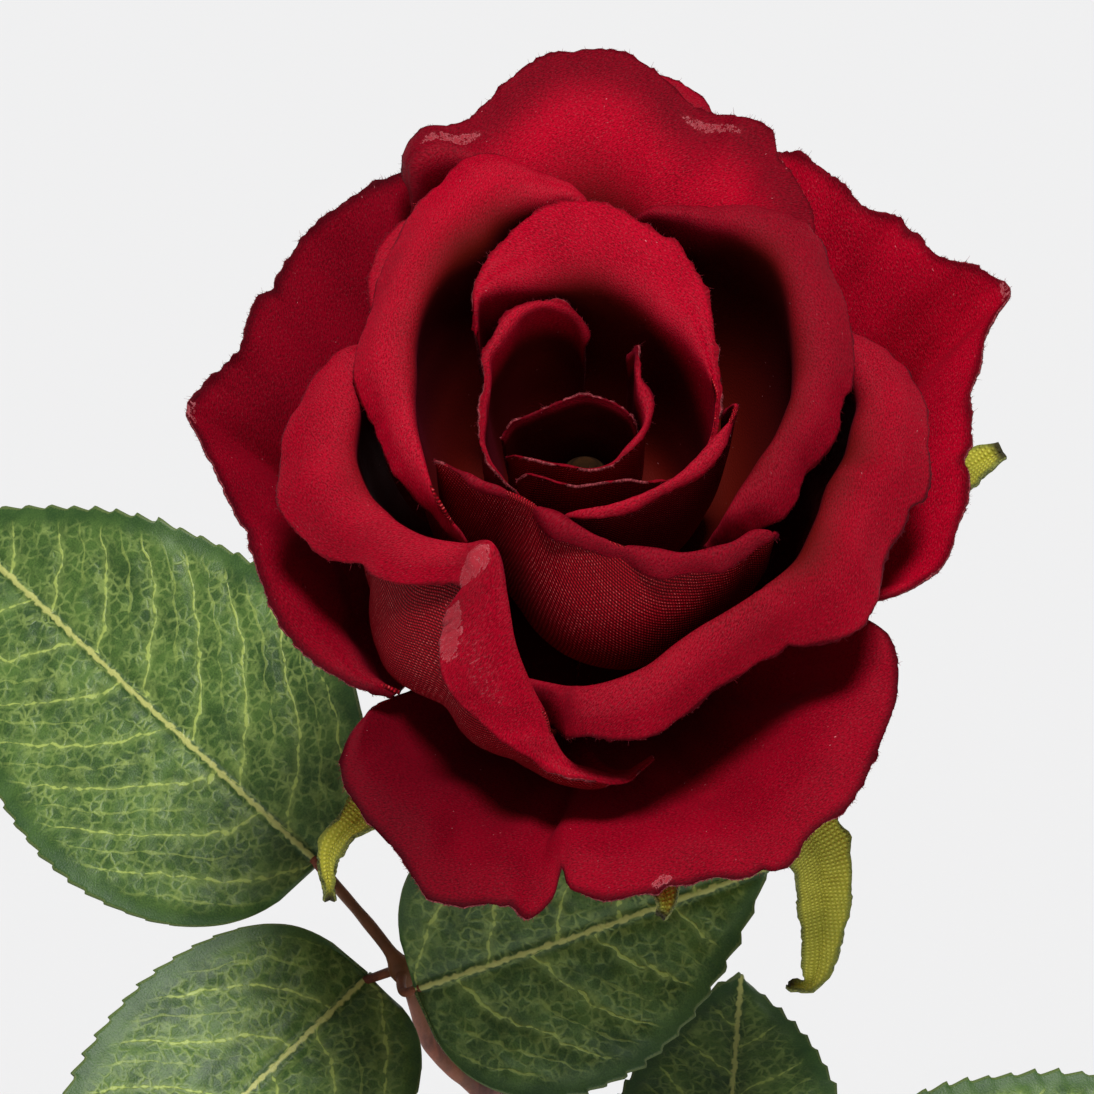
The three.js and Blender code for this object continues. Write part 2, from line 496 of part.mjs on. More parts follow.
// Each leaflet's foot, the way its midrib points, and the way its upper face looks.
const LEAVES = [
  {
    name: "left",
    rachis: [[-0.7, -22.3, 240.4], [-4, -32, 256], [-10.6, -39.5, 272], [-14.1, -40.4, 286],
      [-24, -27, 290.3]],
    stalks: [
      [[-14, -40.2, 285.5], [-13.4, -45.6, 286.6], [-12.6, -46, 287.3]],
      [[-14, -40.2, 285.5], [-17.2, -38.8, 282.9]],
    ],
    leaflets: [
      {
        name: "leaflet_left_end", at: [-24.4, -26.6, 290.4], along: [-0.7, 0.67, 0.24],
        facing: [-0.27, -0.56, 0.78], length: 72, halfWidth: 22, fold: 0.1, arch: 0.1, wave: 0.8,
      },
      {
        name: "leaflet_left_front", at: [-18, -38.4, 282.2], along: [-0.66, -0.73, -0.17],
        facing: [0.05, -0.4, 0.92], length: 60, halfWidth: 18, fold: 0.16, arch: 0.1, wave: 0.8,
      },
      {
        name: "leaflet_under_bloom", at: [-12, -46, 287.6], along: [0.92, 0.02, 0.39],
        facing: [-0.2, -0.86, 0.45], length: 45, halfWidth: 18, fold: 0.1, arch: 0.1, wave: 0.6,
      },
    ],
  },
  {
    name: "right",
    rachis: [[2, -16.6, 216], [7, -24, 225], [14, -38, 233], [20, -50, 237.5], [26, -58, 240],
      [36, -62, 242.4]],
    stalks: [
      [[24.5, -56.4, 239.4], [25, -53.1, 240.9]],
      [[24.6, -56.6, 239.2], [25.2, -61.6, 237.7]],
    ],
    leaflets: [
      {
        name: "leaflet_right_end", at: [36.9, -61.6, 242.8], along: [0.82, 0.38, 0.22],
        facing: [-0.15, -0.45, 0.88], length: 66, halfWidth: 21, fold: 0.12, arch: 0.12, wave: 0.8,
      },
      {
        name: "leaflet_right_back", at: [25, -52.6, 241], along: [0.08, 0.98, 0.12],
        facing: [0.05, -0.15, 0.98], length: 54, halfWidth: 15.5, fold: 0.14, arch: 0.06, wave: 0.8,
      },
      {
        name: "leaflet_right_front", at: [25.3, -62.2, 237.6], along: [0.12, -0.95, -0.2],
        facing: [0.05, -0.2, 0.97], length: 56, halfWidth: 17.5, fold: 0.14, arch: 0.12, wave: 0.8,
      },
    ],
  },
];

const RACHIS_SIDES = 6;
const rachisGeometry = ({ rachis, stalks }) =>
  fused([
    rodGeometry(curveThrough(rachis.slice(0, 3)), RACHIS_FOOT_RADIUS, RACHIS_SIDES, 6),
    rodGeometry(curveThrough(rachis.slice(1)), RACHIS_RADIUS, RACHIS_SIDES, 12),
    ...stalks.map((ends) => rodGeometry(curveThrough(ends), STALK_RADIUS, RACHIS_SIDES, 3)),
  ]);

// ---------- stem ----------

// It stands on the vase's floor at the back and leans on the front of the neck.
const bloomAxis = new THREE.Vector3(0, 0, 1).applyAxisAngle(new THREE.Vector3(1, 0, 0), degrees(BLOOM_TILT));
const stemTop = BLOOM_AT.clone().addScaledVector(bloomAxis, CALYX_FOOT - GAP);
const belowTop = stemTop.clone().addScaledVector(bloomAxis, -16);
const STEM_ROUTE = [
  [-3, 15.5, VASE_FLOOR + 0.8],
  [-1.6, 2.6, 80],
  [-0.3, STEM_RADIUS + 2 * GAP - NECK_BORE, NECK_AT],
  [-0.4, -10.5, 200],
  [-0.3, -17.6, 238],
  [1.8, -25, 278],
  belowTop.toArray(),
  stemTop.toArray(),
];
const PRICKLES = [[0.45, 200], [0.56, 20], [0.6, 140], [0.66, 300], [0.72, 60], [0.78, 220], [0.84, 110]];

function prickleGeometry(curve, [along, azimuth]) {
  const outward = new THREE.Vector3(Math.sin(degrees(azimuth)), -Math.cos(degrees(azimuth)), 0);
  const cone = new THREE.ConeGeometry(PRICKLE_RADIUS, PRICKLE_HEIGHT + 1, 5)
    .translate(0, PRICKLE_HEIGHT / 2, 0);
  cone.applyQuaternion(new THREE.Quaternion().setFromUnitVectors(new THREE.Vector3(0, 1, 0), outward));
  const root = curve.getPointAt(along).addScaledVector(outward, STEM_RADIUS - 0.6);
  return cone.translate(root.x, root.y, root.z);
}

function stemGeometry() {
  const curve = curveThrough(STEM_ROUTE);
  return fused([
    rodGeometry(curve, STEM_RADIUS, 10, 40),
    ...PRICKLES.map((prickle) => prickleGeometry(curve, prickle)),
  ]);
}

// ---------- vase ----------

const VASE_RINGS = 19;

function vaseProfile() {
  const outside = new THREE.SplineCurve(VASE_OUTSIDE.map(([r, z]) => new THREE.Vector2(r, z)))
    .getPoints(VASE_RINGS).map((p) => [p.x, p.y]);
  const inside = outside.filter(([, z]) => z > 2 * VASE_FLOOR).map(([r, z]) => [r - WALL, z]).reverse();
  return [
    [0, 0], [VASE_FOOT_RADIUS, 0], ...outside,
    [MOUTH_BORE + WALL / 2, VASE_HEIGHT],
    ...inside, [VASE_FOOT_RADIUS - 4, VASE_FLOOR], [0, VASE_FLOOR],
  ];
}

// ---------- the whole ----------

const group = new THREE.Group();

function piece(parent, name, geometry, material) {
  const mesh = new THREE.Mesh(geometry, material);
  mesh.name = name;
  parent.add(mesh);
  return mesh;
}

piece(group, "vase", latheGeometry(vaseProfile(), 32), GLAZE);
piece(group, "stem", stemGeometry(), STEM_PLASTIC);

const bloom = new THREE.Group();
bloom.position.copy(BLOOM_AT);
bloom.rotation.x = degrees(BLOOM_TILT);
group.add(bloom);
piece(bloom, "bloom_core", latheGeometry(coreProfile, 16), CORE_FOAM);
piece(bloom, "calyx", latheGeometry(calyxProfile, 16), CALYX_PLASTIC);
PETALS.forEach((petal, order) => {
  piece(bloom, petal.name, petalGeometry(petal, 1 + order * SEAT_STEP), PETAL);
});
SEPALS.forEach((sepal) => piece(bloom, sepal.name, sepalGeometry(sepal), SEPAL_CLOTH));

for (const leaf of LEAVES) {
  piece(group, `rachis_${leaf.name}`, rachisGeometry(leaf), STEM_PLASTIC);
  for (const leaflet of leaf.leaflets) {
    const mesh = piece(group, leaflet.name, leafletGeometry(leaflet), GREEN_LEAF);
    const along = new THREE.Vector3(...leaflet.along).normalize();
    const side = along.clone().cross(new THREE.Vector3(...leaflet.facing)).normalize();
    mesh.quaternion.setFromRotationMatrix(
      new THREE.Matrix4().makeBasis(side, along, side.clone().cross(along)),
    );
    mesh.position.set(...leaflet.at);
  }
}

export default group;
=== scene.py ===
"""A crimson fabric rose on one leafy stem, standing in a plain glazed bud vase.

Sizes in the classes are millimetres, in the part's own frame: +Z up, the middle of the vase's foot at the
origin, the bloom leaning over the front, -Y. Meshes are scaled to metres as they are made.
"""

from __future__ import annotations

import logging
import math
from dataclasses import dataclass, field
from enum import Enum
from typing import Callable, Sequence

import bmesh
import bpy
import numpy as np
from mathutils import Matrix, Vector

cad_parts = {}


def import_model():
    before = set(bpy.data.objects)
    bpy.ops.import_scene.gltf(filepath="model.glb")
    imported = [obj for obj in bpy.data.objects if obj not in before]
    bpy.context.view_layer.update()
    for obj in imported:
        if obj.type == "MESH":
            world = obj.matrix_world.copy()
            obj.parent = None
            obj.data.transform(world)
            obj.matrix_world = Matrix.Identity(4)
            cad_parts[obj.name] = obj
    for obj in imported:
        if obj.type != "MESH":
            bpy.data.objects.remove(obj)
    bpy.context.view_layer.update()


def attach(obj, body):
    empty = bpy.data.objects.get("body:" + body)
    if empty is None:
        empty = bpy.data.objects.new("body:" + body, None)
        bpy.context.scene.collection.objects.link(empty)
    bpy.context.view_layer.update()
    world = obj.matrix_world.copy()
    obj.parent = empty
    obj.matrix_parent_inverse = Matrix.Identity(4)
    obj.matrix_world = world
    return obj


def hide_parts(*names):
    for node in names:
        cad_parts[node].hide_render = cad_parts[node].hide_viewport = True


LOG = logging.getLogger("rose")
MM = 0.001  # metres
BODY = "root"
BLOOM_AT = np.array((8.0, -45.0, 350.0))  # the foot of the petals, on the bloom's axis
BLOOM_TILT = math.radians(18)
CENTRIPETAL = 0.5  # the power of the spacing between points that sets a curve's knots
TRIAL_POINTS = 40  # for each point that a curve runs through, to make it even in length
RIPPLE_WAVES = 7
Color = tuple[float, float, float]
Point = tuple[float, float, float]
Station = tuple[float, ...]
Socket = bpy.types.NodeSocket


# ---------- small geometry ----------


def in_bloom(points: np.ndarray) -> np.ndarray:
    """Carries points from the bloom's own frame into the part's.

    Args:
        points: millimetres, the last axis being right, back and up along the bloom's axis.

    Returns:
        The same points in the part's frame, in millimetres.
    """
    x, y, z = np.moveaxis(np.asarray(points, float), -1, 0)
    c, s = math.cos(BLOOM_TILT), math.sin(BLOOM_TILT)
    return np.stack((x, c * y - s * z, s * y + c * z), -1) + BLOOM_AT


def through(points: np.ndarray, samples: int) -> np.ndarray:
    """A smooth curve through points, as a centripetal Catmull-Rom spline.

    Args:
        points: shape (n, ...); everything after the first axis is carried along together.
        samples: how many points to return, both ends included.

    Returns:
        An array of shape (samples, ...), even in length between the two ends.
    """
    pts = np.asarray(points, float)
    flat = pts.reshape(len(pts), -1)
    flat = np.vstack((2 * flat[0] - flat[1], flat, 2 * flat[-1] - flat[-2]))
    gaps = np.linalg.norm(np.diff(flat, axis=0), axis=1) / math.sqrt(max(flat.shape[1] / 3, 1))
    knots = np.concatenate(((0.0,), np.cumsum(np.maximum(gaps, 1e-6) ** CENTRIPETAL)))

    def at(t: np.ndarray) -> np.ndarray:
        """The spline at some knot values.

        Args:
            t: the knot values.

        Returns:
            A point for each of them.
        """
        k = np.clip(np.searchsorted(knots, t, side="right") - 1, 1, len(knots) - 3)
        t0, t1, t2, t3 = (knots[k + i][:, None] for i in (-1, 0, 1, 2))
        p0, p1, p2, p3 = (flat[k + i] for i in (-1, 0, 1, 2))
        u = t[:, None]
        a1 = (t1 - u) / (t1 - t0) * p0 + (u - t0) / (t1 - t0) * p1
        a2 = (t2 - u) / (t2 - t1) * p1 + (u - t1) / (t2 - t1) * p2
        a3 = (t3 - u) / (t3 - t2) * p2 + (u - t2) / (t3 - t2) * p3
        b1 = (t2 - u) / (t2 - t0) * a1 + (u - t0) / (t2 - t0) * a2
        b2 = (t3 - u) / (t3 - t1) * a2 + (u - t1) / (t3 - t1) * a3
        return (t2 - u) / (t2 - t1) * b1 + (u - t1) / (t2 - t1) * b2

    fine = np.linspace(knots[1], knots[-2], TRIAL_POINTS * len(pts))
    run = at(fine)
    length = np.concatenate(((0.0,), np.cumsum(np.linalg.norm(np.diff(run, axis=0), axis=1))))
    even = np.interp(np.linspace(0, length[-1], samples), length, fine)
    return at(even).reshape((samples,) + pts.shape[1:])


def ramp(value: np.ndarray, low: float, high: float) -> np.ndarray:
    """A smooth step from 0 at low to 1 at high."""
    t = np.clip((value - low) / (high - low), 0, 1)
    return t * t * (3 - 2 * t)


def ripple(x: np.ndarray, y: np.ndarray, size: float, seed: int) -> np.ndarray:
    """Soft seeded waves over a surface.

    Args:
        x: one coordinate on the surface, in millimetres.
        y: the other.
        size: the usual length of a wave, in millimetres.
        seed: which pattern.

    Returns:
        Values between about -1 and 1.
    """
    draw = np.random.default_rng(seed)
    total = np.zeros(np.broadcast(x, y).shape)
    for _ in range(RIPPLE_WAVES):
        turn, phase = draw.uniform(0, 2 * math.pi, 2)
        k = 2 * math.pi / (size * draw.uniform(0.7, 1.6))
        total += np.sin(k * (x * math.cos(turn) + y * math.sin(turn)) + phase)
    return total / 4.0


def normals_of(surface: np.ndarray) -> np.ndarray:
    """Finds which way a surface looks.

    Args:
        surface: a table of points, [column, row, xyz].

    Returns:
        A unit normal for each point.
    """
    across = np.gradient(surface, axis=0)
    along = np.gradient(surface, axis=1)
    normal = np.cross(across, along)
    return normal / np.maximum(np.linalg.norm(normal, axis=-1, keepdims=True), 1e-9)


def run_length(surface: np.ndarray, axis: int) -> np.ndarray:
    """Distance walked over a table of points along one of its two axes, from that axis's start."""
    step = np.linalg.norm(np.diff(surface, axis=axis), axis=-1)
    return np.concatenate((np.zeros_like(np.take(step, [0], axis)), np.cumsum(step, axis=axis)), axis)


def linked(name: str, data: bpy.types.ID) -> bpy.types.Object:
    """Puts a mesh, light or camera into the scene.

    Args:
        name: the object's name.
        data: what it shows.

    Returns:
        The new object, at the origin.
    """
    made = bpy.data.objects.new(name, data)
    bpy.context.collection.objects.link(made)
    return made


@dataclass
class Sheet:
    """A table of points to be laid out as one cloth or moulded surface."""

    surface: np.ndarray  # [column, row, xyz] in the part's frame, millimetres
    cloth: np.ndarray  # [column, row, 2] where each point lies on the flat cloth, millimetres
    marks: dict[str, np.ndarray] = field(default_factory=dict)  # named values [column, row]

    def to_object(self, name: str) -> bpy.types.Object:
        """Makes the mesh from a grid and lays it over the table.

        Args:
            name: the piece's name.

        Returns:
            The new object, at the origin, with a "cloth" UV map and the marks as attributes.
        """
        columns, rows = self.surface.shape[:2]
        bm = bmesh.new()
        bmesh.ops.create_grid(bm, x_segments=columns - 1, y_segments=rows - 1, size=1)
        mesh = bpy.data.meshes.new(name)
        bm.to_mesh(mesh)
        bm.free()
        flat = np.empty(3 * len(mesh.vertices))
        mesh.vertices.foreach_get("co", flat)
        flat = flat.reshape(-1, 3)
        i = np.rint((flat[:, 0] + 1) / 2 * (columns - 1)).astype(int)
        j = np.rint((flat[:, 1] + 1) / 2 * (rows - 1)).astype(int)
        mesh.vertices.foreach_set("co", (self.surface[i, j] * MM).ravel())
        corner = np.empty(len(mesh.loops), dtype=np.int32)
        mesh.loops.foreach_get("vertex_index", corner)
        layer = mesh.uv_layers.new(name="cloth")
        layer.data.foreach_set("uv", self.cloth[i, j][corner].astype(np.float32).ravel())
        for mark, values in self.marks.items():
            layer = mesh.attributes.new(mark, "FLOAT", "POINT")
            layer.data.foreach_set("value", values[i, j].astype(np.float32))
        mesh.polygons.foreach_set("use_smooth", np.ones(len(mesh.polygons), dtype=bool))
        mesh.update()
        return linked(name, mesh)


def thicken(piece: bpy.types.Object, thickness: float) -> None:
    """Gives a surface its wall: the second material on its back and the third on its cut edge.

    Args:
        piece: the surface.
        thickness: of the wall, half of it on either side, in millimetres.
    """
    wall = piece.modifiers.new("wall", "SOLIDIFY")
    wall.thickness = thickness * MM
    wall.offset = 0.0
    wall.use_rim = True
    wall.material_offset = 1
    wall.material_offset_rim = 2


def object_of(bm: bmesh.types.BMesh, name: str, smooth: bool = True) -> bpy.types.Object:
    """Turns a finished bmesh into an object.

    Args:
        bm: the bmesh, in millimetres; it is freed.
        name: the piece's name.
        smooth: whether its faces are shaded smoothly.

    Returns:
        The new object, at the origin, in metres.
    """
    bmesh.ops.scale(bm, vec=(MM, MM, MM), verts=bm.verts)
    mesh = bpy.data.meshes.new(name)
    bm.to_mesh(mesh)
    bm.free()
    mesh.polygons.foreach_set("use_smooth", np.full(len(mesh.polygons), smooth))
    mesh.update()
    return linked(name, mesh)


def spun(
    name: str,
    profile: Sequence[tuple[float, float]],
    steps: int,
    place: Callable[[np.ndarray], np.ndarray] | None = None,
) -> bpy.types.Object:
    """Spins a profile round Z.

    Args:
        name: the piece's name.
        profile: radius and height of each point, both ends on the axis.
        steps: how many parts the full turn has.
        place: carries the points into the part's frame, if they aren't in it.

    Returns:
        The closed piece, facing out.
    """
    bm = bmesh.new()
    verts = [bm.verts.new((r, 0.0, z)) for r, z in profile]
    edges = [bm.edges.new(pair) for pair in zip(verts, verts[1:])]
    bmesh.ops.spin(
        bm, geom=verts + edges, cent=(0, 0, 0), axis=(0, 0, 1), angle=2 * math.pi, steps=steps, use_merge=True
    )
    bmesh.ops.remove_doubles(bm, verts=bm.verts, dist=1e-4)
    bmesh.ops.recalc_face_normals(bm, faces=bm.faces)
    if place:
        for vert in bm.verts:
            vert.co = Vector(place(np.array(vert.co)))
    return object_of(bm, name)


def add_tube(bm: bmesh.types.BMesh, path: np.ndarray, radii: np.ndarray, sides: int) -> None:
    """Adds a closed tube to a bmesh, rolled up from a grid.

    Args:
        bm: what it is added to, in millimetres.
        path: points along its middle.
        radii: its radius at each point.
        sides: how many sides it has.
    """
    steps = len(path)
    tangent = np.gradient(path, axis=0)
    tangent /= np.linalg.norm(tangent, axis=1, keepdims=True)
    side = np.cross(tangent[0], (0.0, 0.0, 1.0) if abs(tangent[0][2]) < 0.9 else (1.0, 0.0, 0.0))
    turn = np.linspace(0, 2 * math.pi, sides + 1)[:, None]
    rings = []
    for k in range(steps):
        side = side - tangent[k] * np.dot(side, tangent[k])
        side /= np.linalg.norm(side)
        over = np.cross(tangent[k], side)
        rings.append(path[k] + radii[k] * (np.cos(turn) * side + np.sin(turn) * over))
    made = bmesh.ops.create_grid(bm, x_segments=sides, y_segments=steps - 1, size=1)["verts"]
    for vert in made:
        i = round((vert.co.x + 1) / 2 * sides)
        j = round((vert.co.y + 1) / 2 * (steps - 1))
        vert.co = Vector(rings[j][i % sides])
    made = list(dict.fromkeys(made))
    bmesh.ops.remove_doubles(bm, verts=made, dist=1e-5)
    made = [v for v in made if v.is_valid]
    rims = {e for v in made for e in v.link_edges if e.is_boundary}
    bmesh.ops.holes_fill(bm, edges=list(rims), sides=0)


# ---------- finishes ----------


def paint(red: int, green: int, blue: int) -> Color:
    """A colour as it looks, 0 to 255, made linear for the shader."""
    tones = (red, green, blue)
    return tuple((c / 255 / 12.92) if c <= 10 else ((c / 255 + 0.055) / 1.055) ** 2.4 for c in tones)


class Measure(Enum):
    """What a board's cells measure."""

    EDGE = "DISTANCE_TO_EDGE"
    MIDDLE = "F1"


class Board:
    """The node board of one material, with a principled shader at its end."""

    def __init__(self, name: str) -> None:
        """Starts a material with its shader and output.

        Args:
            name: the material's name.
        """
        self.material = bpy.data.materials.new(name)
        self.material.use_nodes = True
        self.tree = self.material.node_tree
        self.tree.nodes.clear()
        self.shader = self.tree.nodes.new("ShaderNodeBsdfPrincipled")
        output = self.tree.nodes.new("ShaderNodeOutputMaterial")
        self.tree.links.new(self.shader.outputs["BSDF"], output.inputs["Surface"])

    def set(self, socket: Socket, value: object) -> None:
        """Links a socket, or gives it a plain number or colour.

        Args:
            socket: the input.
            value: an output to link it to, or its value.
        """
        if isinstance(value, Socket):
            self.tree.links.new(value, socket)
        elif isinstance(value, tuple) and len(socket.default_value) == 4 and len(value) == 3:
            socket.default_value = (*value, 1.0)
        else:
            socket.default_value = value

    def dress(self, **inputs: object) -> None:
        """Sets the shader's inputs, named with _ for a space."""
        for name, value in inputs.items():
            self.set(self.shader.inputs[name.replace("_", " ")], value)

    def math(self, operation: str, *values: object) -> Socket:
        """One step of arithmetic.

        Args:
            operation: Blender's name for it.
            values: what it works on.

        Returns:
            The result.
        """
        node = self.tree.nodes.new("ShaderNodeMath")
        node.operation = operation
        for socket, value in zip(node.inputs, values):
            self.set(socket, value)
        return node.outputs[0]

    def times(self, value: object, factor: object) -> Socket:
        """A product."""
        return self.math("MULTIPLY", value, factor)

    def times_plus(self, value: object, factor: object, more: object) -> Socket:
        """A product, and something added to it."""
        return self.math("MULTIPLY_ADD", value, factor, more)

    def step(self, value: Socket, low: float, high: float) -> Socket:
        """A smooth step.

        Args:
            value: what it looks at.
            low: where it is 0; it may be larger than high.
            high: where it is 1.

        Returns:
            The step.
        """
        node = self.tree.nodes.new("ShaderNodeMapRange")
        node.interpolation_type = "SMOOTHSTEP"
        flip = low > high
        values = (value, min(low, high), max(low, high), 1.0 if flip else 0.0, 0.0 if flip else 1.0)
        for socket, given in zip(node.inputs, values):
            self.set(socket, given)
        return node.outputs[0]

    def blend(self, share: object, first: object, second: object) -> Socket:
        """A mix of two colours.

        Args:
            share: of the second colour, 0 to 1.
            first: the first colour.
            second: the second colour.

        Returns:
            The mixed colour.
        """
        node = self.tree.nodes.new("ShaderNodeMix")
        node.data_type = "RGBA"
        node.clamp_factor = True
        for index, value in ((0, share), (6, first), (7, second)):
            self.set(node.inputs[index], value)
        return node.outputs[2]

    def mark(self, name: str) -> Socket:
        """A number that the mesh carries.

        Args:
            name: the attribute's name.

        Returns:
            Its value.
        """
        node = self.tree.nodes.new("ShaderNodeAttribute")
        node.attribute_name = name
        return node.outputs["Fac"]

    def cloth(self) -> Socket:
        """Finds a point on the flat cloth.

        Returns:
            Where it lies, in millimetres.
        """
        node = self.tree.nodes.new("ShaderNodeUVMap")
        node.uv_map = "cloth"
        return node.outputs["UV"]

    def place(self, stretch: Point = (1000.0, 1000.0, 1000.0)) -> Socket:
        """Where a point lies in the part, in millimetres unless stretched otherwise."""
        coordinate = self.tree.nodes.new("ShaderNodeTexCoord")
        return self.stretched(coordinate.outputs["Object"], stretch)

    def stretched(self, vector: Socket, stretch: Point, turn: float = 0.0) -> Socket:
        """Scales a vector, then turns it about Z.

        Args:
            vector: the vector.
            stretch: its three scales.
            turn: in degrees.

        Returns:
            The new vector.
        """
        node = self.tree.nodes.new("ShaderNodeMapping")
        self.set(node.inputs["Vector"], vector)
        node.inputs["Scale"].default_value = stretch
        node.inputs["Rotation"].default_value = (0.0, 0.0, math.radians(turn))
        return node.outputs["Vector"]

    def split(self, vector: Socket) -> tuple[Socket, Socket, Socket]:
        """Takes a vector apart.

        Args:
            vector: the vector.

        Returns:
            Its x, y and z.
        """
        node = self.tree.nodes.new("ShaderNodeSeparateXYZ")
        self.set(node.inputs[0], vector)
        return tuple(node.outputs)

    def pushed(self, vector: Socket, size: float, amount: float) -> Socket:
        """Moves a vector about by noise waves.

        Args:
            vector: the vector.
            size: of the waves.
            amount: how far they move it at most.

        Returns:
            The new vector.
        """
        noise = self.tree.nodes.new("ShaderNodeTexNoise")
        self.set(noise.inputs["Vector"], vector)
        noise.inputs["Scale"].default_value = 1 / size
        away = self.tree.nodes.new("ShaderNodeVectorMath")
        away.operation = "MULTIPLY_ADD"
        self.set(away.inputs[0], noise.outputs["Color"])
        away.inputs[1].default_value = (amount, amount, amount)
        self.set(away.inputs[2], vector)
        return away.outputs[0]

    def noise(self, vector: Socket, size: float, detail: float = 2.0, roughness: float = 0.5) -> Socket:
        """Cloudy noise.

        Args:
            vector: where it is read.
            size: of its features.
            detail: how many finer layers it has.
            roughness: how strong those are.

        Returns:
            The noise, 0 to 1.
        """
        node = self.tree.nodes.new("ShaderNodeTexNoise")
        self.set(node.inputs["Vector"], vector)
        node.inputs["Scale"].default_value = 1 / size
        node.inputs["Detail"].default_value = detail
        node.inputs["Roughness"].default_value = roughness
        return node.outputs["Fac"]

    def cells(self, vector: Socket, size: float, measure: Measure) -> Socket:
        """Scattered cells.

        Args:
            vector: where they are read.
            size: of a cell.
            measure: what is measured in them.

        Returns:
            The distance, as a part of a cell's size.
        """
        node = self.tree.nodes.new("ShaderNodeTexVoronoi")
        node.feature = measure.value
        self.set(node.inputs["Vector"], vector)
        node.inputs["Scale"].default_value = 1 / size
        return node.outputs["Distance"]

    def wave(self, value: Socket, length: float) -> Socket:
        """A sine wave, 0 to 1, along a coordinate."""
        turns = self.times(value, 2 * math.pi / length)
        return self.times_plus(self.math("SINE", turns), 0.5, 0.5)

    def bump(self, height: Socket, depth: float, strength: float) -> None:
        """Raises the surface.

        Args:
            height: how far, 0 to 1.
            depth: what 1 is, in millimetres.
            strength: how much of it shows.
        """
        node = self.tree.nodes.new("ShaderNodeBump")
        node.inputs["Strength"].default_value = strength
        node.inputs["Distance"].default_value = depth * MM
        self.set(node.inputs["Height"], height)
        self.set(self.shader.inputs["Normal"], node.outputs["Normal"])


class Finish:
    """What every finish can do: it lays its own nodes on the board of its material."""

    name: str

    def lay(self, b: Board) -> None:
        """Lays the nodes of the finish on a board."""
        raise NotImplementedError(self.name)

    def material(self) -> bpy.types.Material:
        """Builds the finish.

        Returns:
            The new material.
        """
        board = Board(self.name)
        self.lay(board)
        return board.material


@dataclass(frozen=True)
class Velvet(Finish):
    """The brushed upper face of a petal, with the short floats of its weave showing through."""

    name: str = "petal_velvet"
    low: Color = paint(130, 0, 20)
    high: Color = paint(208, 0, 42)
    # painted shade: the colour of the cloth down in the bloom's hollows, partly darker dyeing, mostly shadow
    deep: Color = paint(78, 12, 3)
    # the darkest a petal gets by its darkness level: partly darker dyeing, partly painted shade
    dark_dye_and_shade: Color = paint(40, 0, 8)
    # paler cloth from wear, also painted sheen on ridges and crushed patches
    wear_and_sheen: Color = paint(190, 60, 72)
    border: Color = paint(96, 6, 16)
    lint: Color = paint(224, 140, 146)
    nap: float = 0.17
    fleck: float = 0.26
    float_length: float = 0.4
    float_width: float = 0.15
    float_lean: float = 17.0

    def lay(self, b: Board) -> None:
        """Lays the nap, then parts paler from wear and painted sheen, darker dyed parts with painted shade,
        and the painted shade of the bloom's hollows, then flecks of lint.

        Args:
            b: the material's board.
        """
        cloth = b.cloth()
        nap = b.noise(cloth, self.nap, 2.0, 0.6)
        float_size = (1 / self.float_length, 1 / self.float_width, 1.0)
        floats = b.noise(b.stretched(cloth, float_size, self.float_lean), 1.0, 1.0, 0.4)
        drift = b.noise(cloth, 8.0, 3.0, 0.55)
        tone = b.times_plus(drift, 0.2, b.times_plus(nap, 0.24, b.times(floats, 0.56)))
        color = b.blend(b.step(tone, 0.32, 0.62), self.low, self.high)
        fleck = b.step(b.noise(cloth, self.fleck, 1.0, 0.4), 0.57, 0.72)
        color = b.blend(b.times(fleck, 0.5), color, self.wear_and_sheen)
        # ridges paler partly from wear and partly as painted sheen on the rolled lips
        rubbed_and_sheen = b.times(b.mark("ridge"), b.step(nap, 0.4, 0.65))
        color = b.blend(b.times(rubbed_and_sheen, 0.35), color, self.wear_and_sheen)
        edge = b.times_plus(nap, -0.7, b.mark("edge"))
        color = b.blend(b.times(b.step(edge, 0.1, -0.25), 0.5), color, self.border)
        # each petal's darkness level: partly darker dyeing, partly painted shade for petals turned from the
        # light
        color = b.blend(b.mark("dye_and_shade"), self.dark_dye_and_shade, color)
        # painted shade from some way inside the edge, standing in for the shadow in the bloom's hollows
        color = b.blend(b.mark("tone"), self.deep, color)
        speck = b.step(b.noise(cloth, 0.6, 4.0, 0.75), 0.36, 0.62)
        # crushed patches, paler partly from wear and partly as painted sheen
        patch = b.times(b.mark("crush"), b.times_plus(speck, 0.9, 0.5))
        color = b.blend(b.times(b.step(patch, 0.35, 0.9), 0.65), color, self.wear_and_sheen)
        # pale outlines in the crushed patches: painted highlights on their crinkles
        rim = b.step(b.math("ABSOLUTE", b.math("SUBTRACT", patch, 0.62)), 0.1, 0.02)
        color = b.blend(b.times(rim, 0.4), color, self.lint)
        hairs = b.stretched(b.pushed(cloth, 1.2, 0.9), (1.0, 3.4, 1.0), 40)
        lint = b.step(b.cells(hairs, 2.6, Measure.MIDDLE), 0.06, 0.025)
        color = b.blend(b.times(lint, b.step(drift, 0.42, 0.6)), color, self.lint)
        b.bump(b.times_plus(nap, 0.6, b.times(floats, 0.8)), 0.07, 0.8)
        b.dress(
            Base_Color=color, Roughness=b.times_plus(b.mark("crush"), -0.2, 0.7),
            Specular_IOR_Level=0.06, Sheen_Weight=0.04, Sheen_Roughness=0.4, Sheen_Tint=(1.0, 0.06, 0.2),
        )


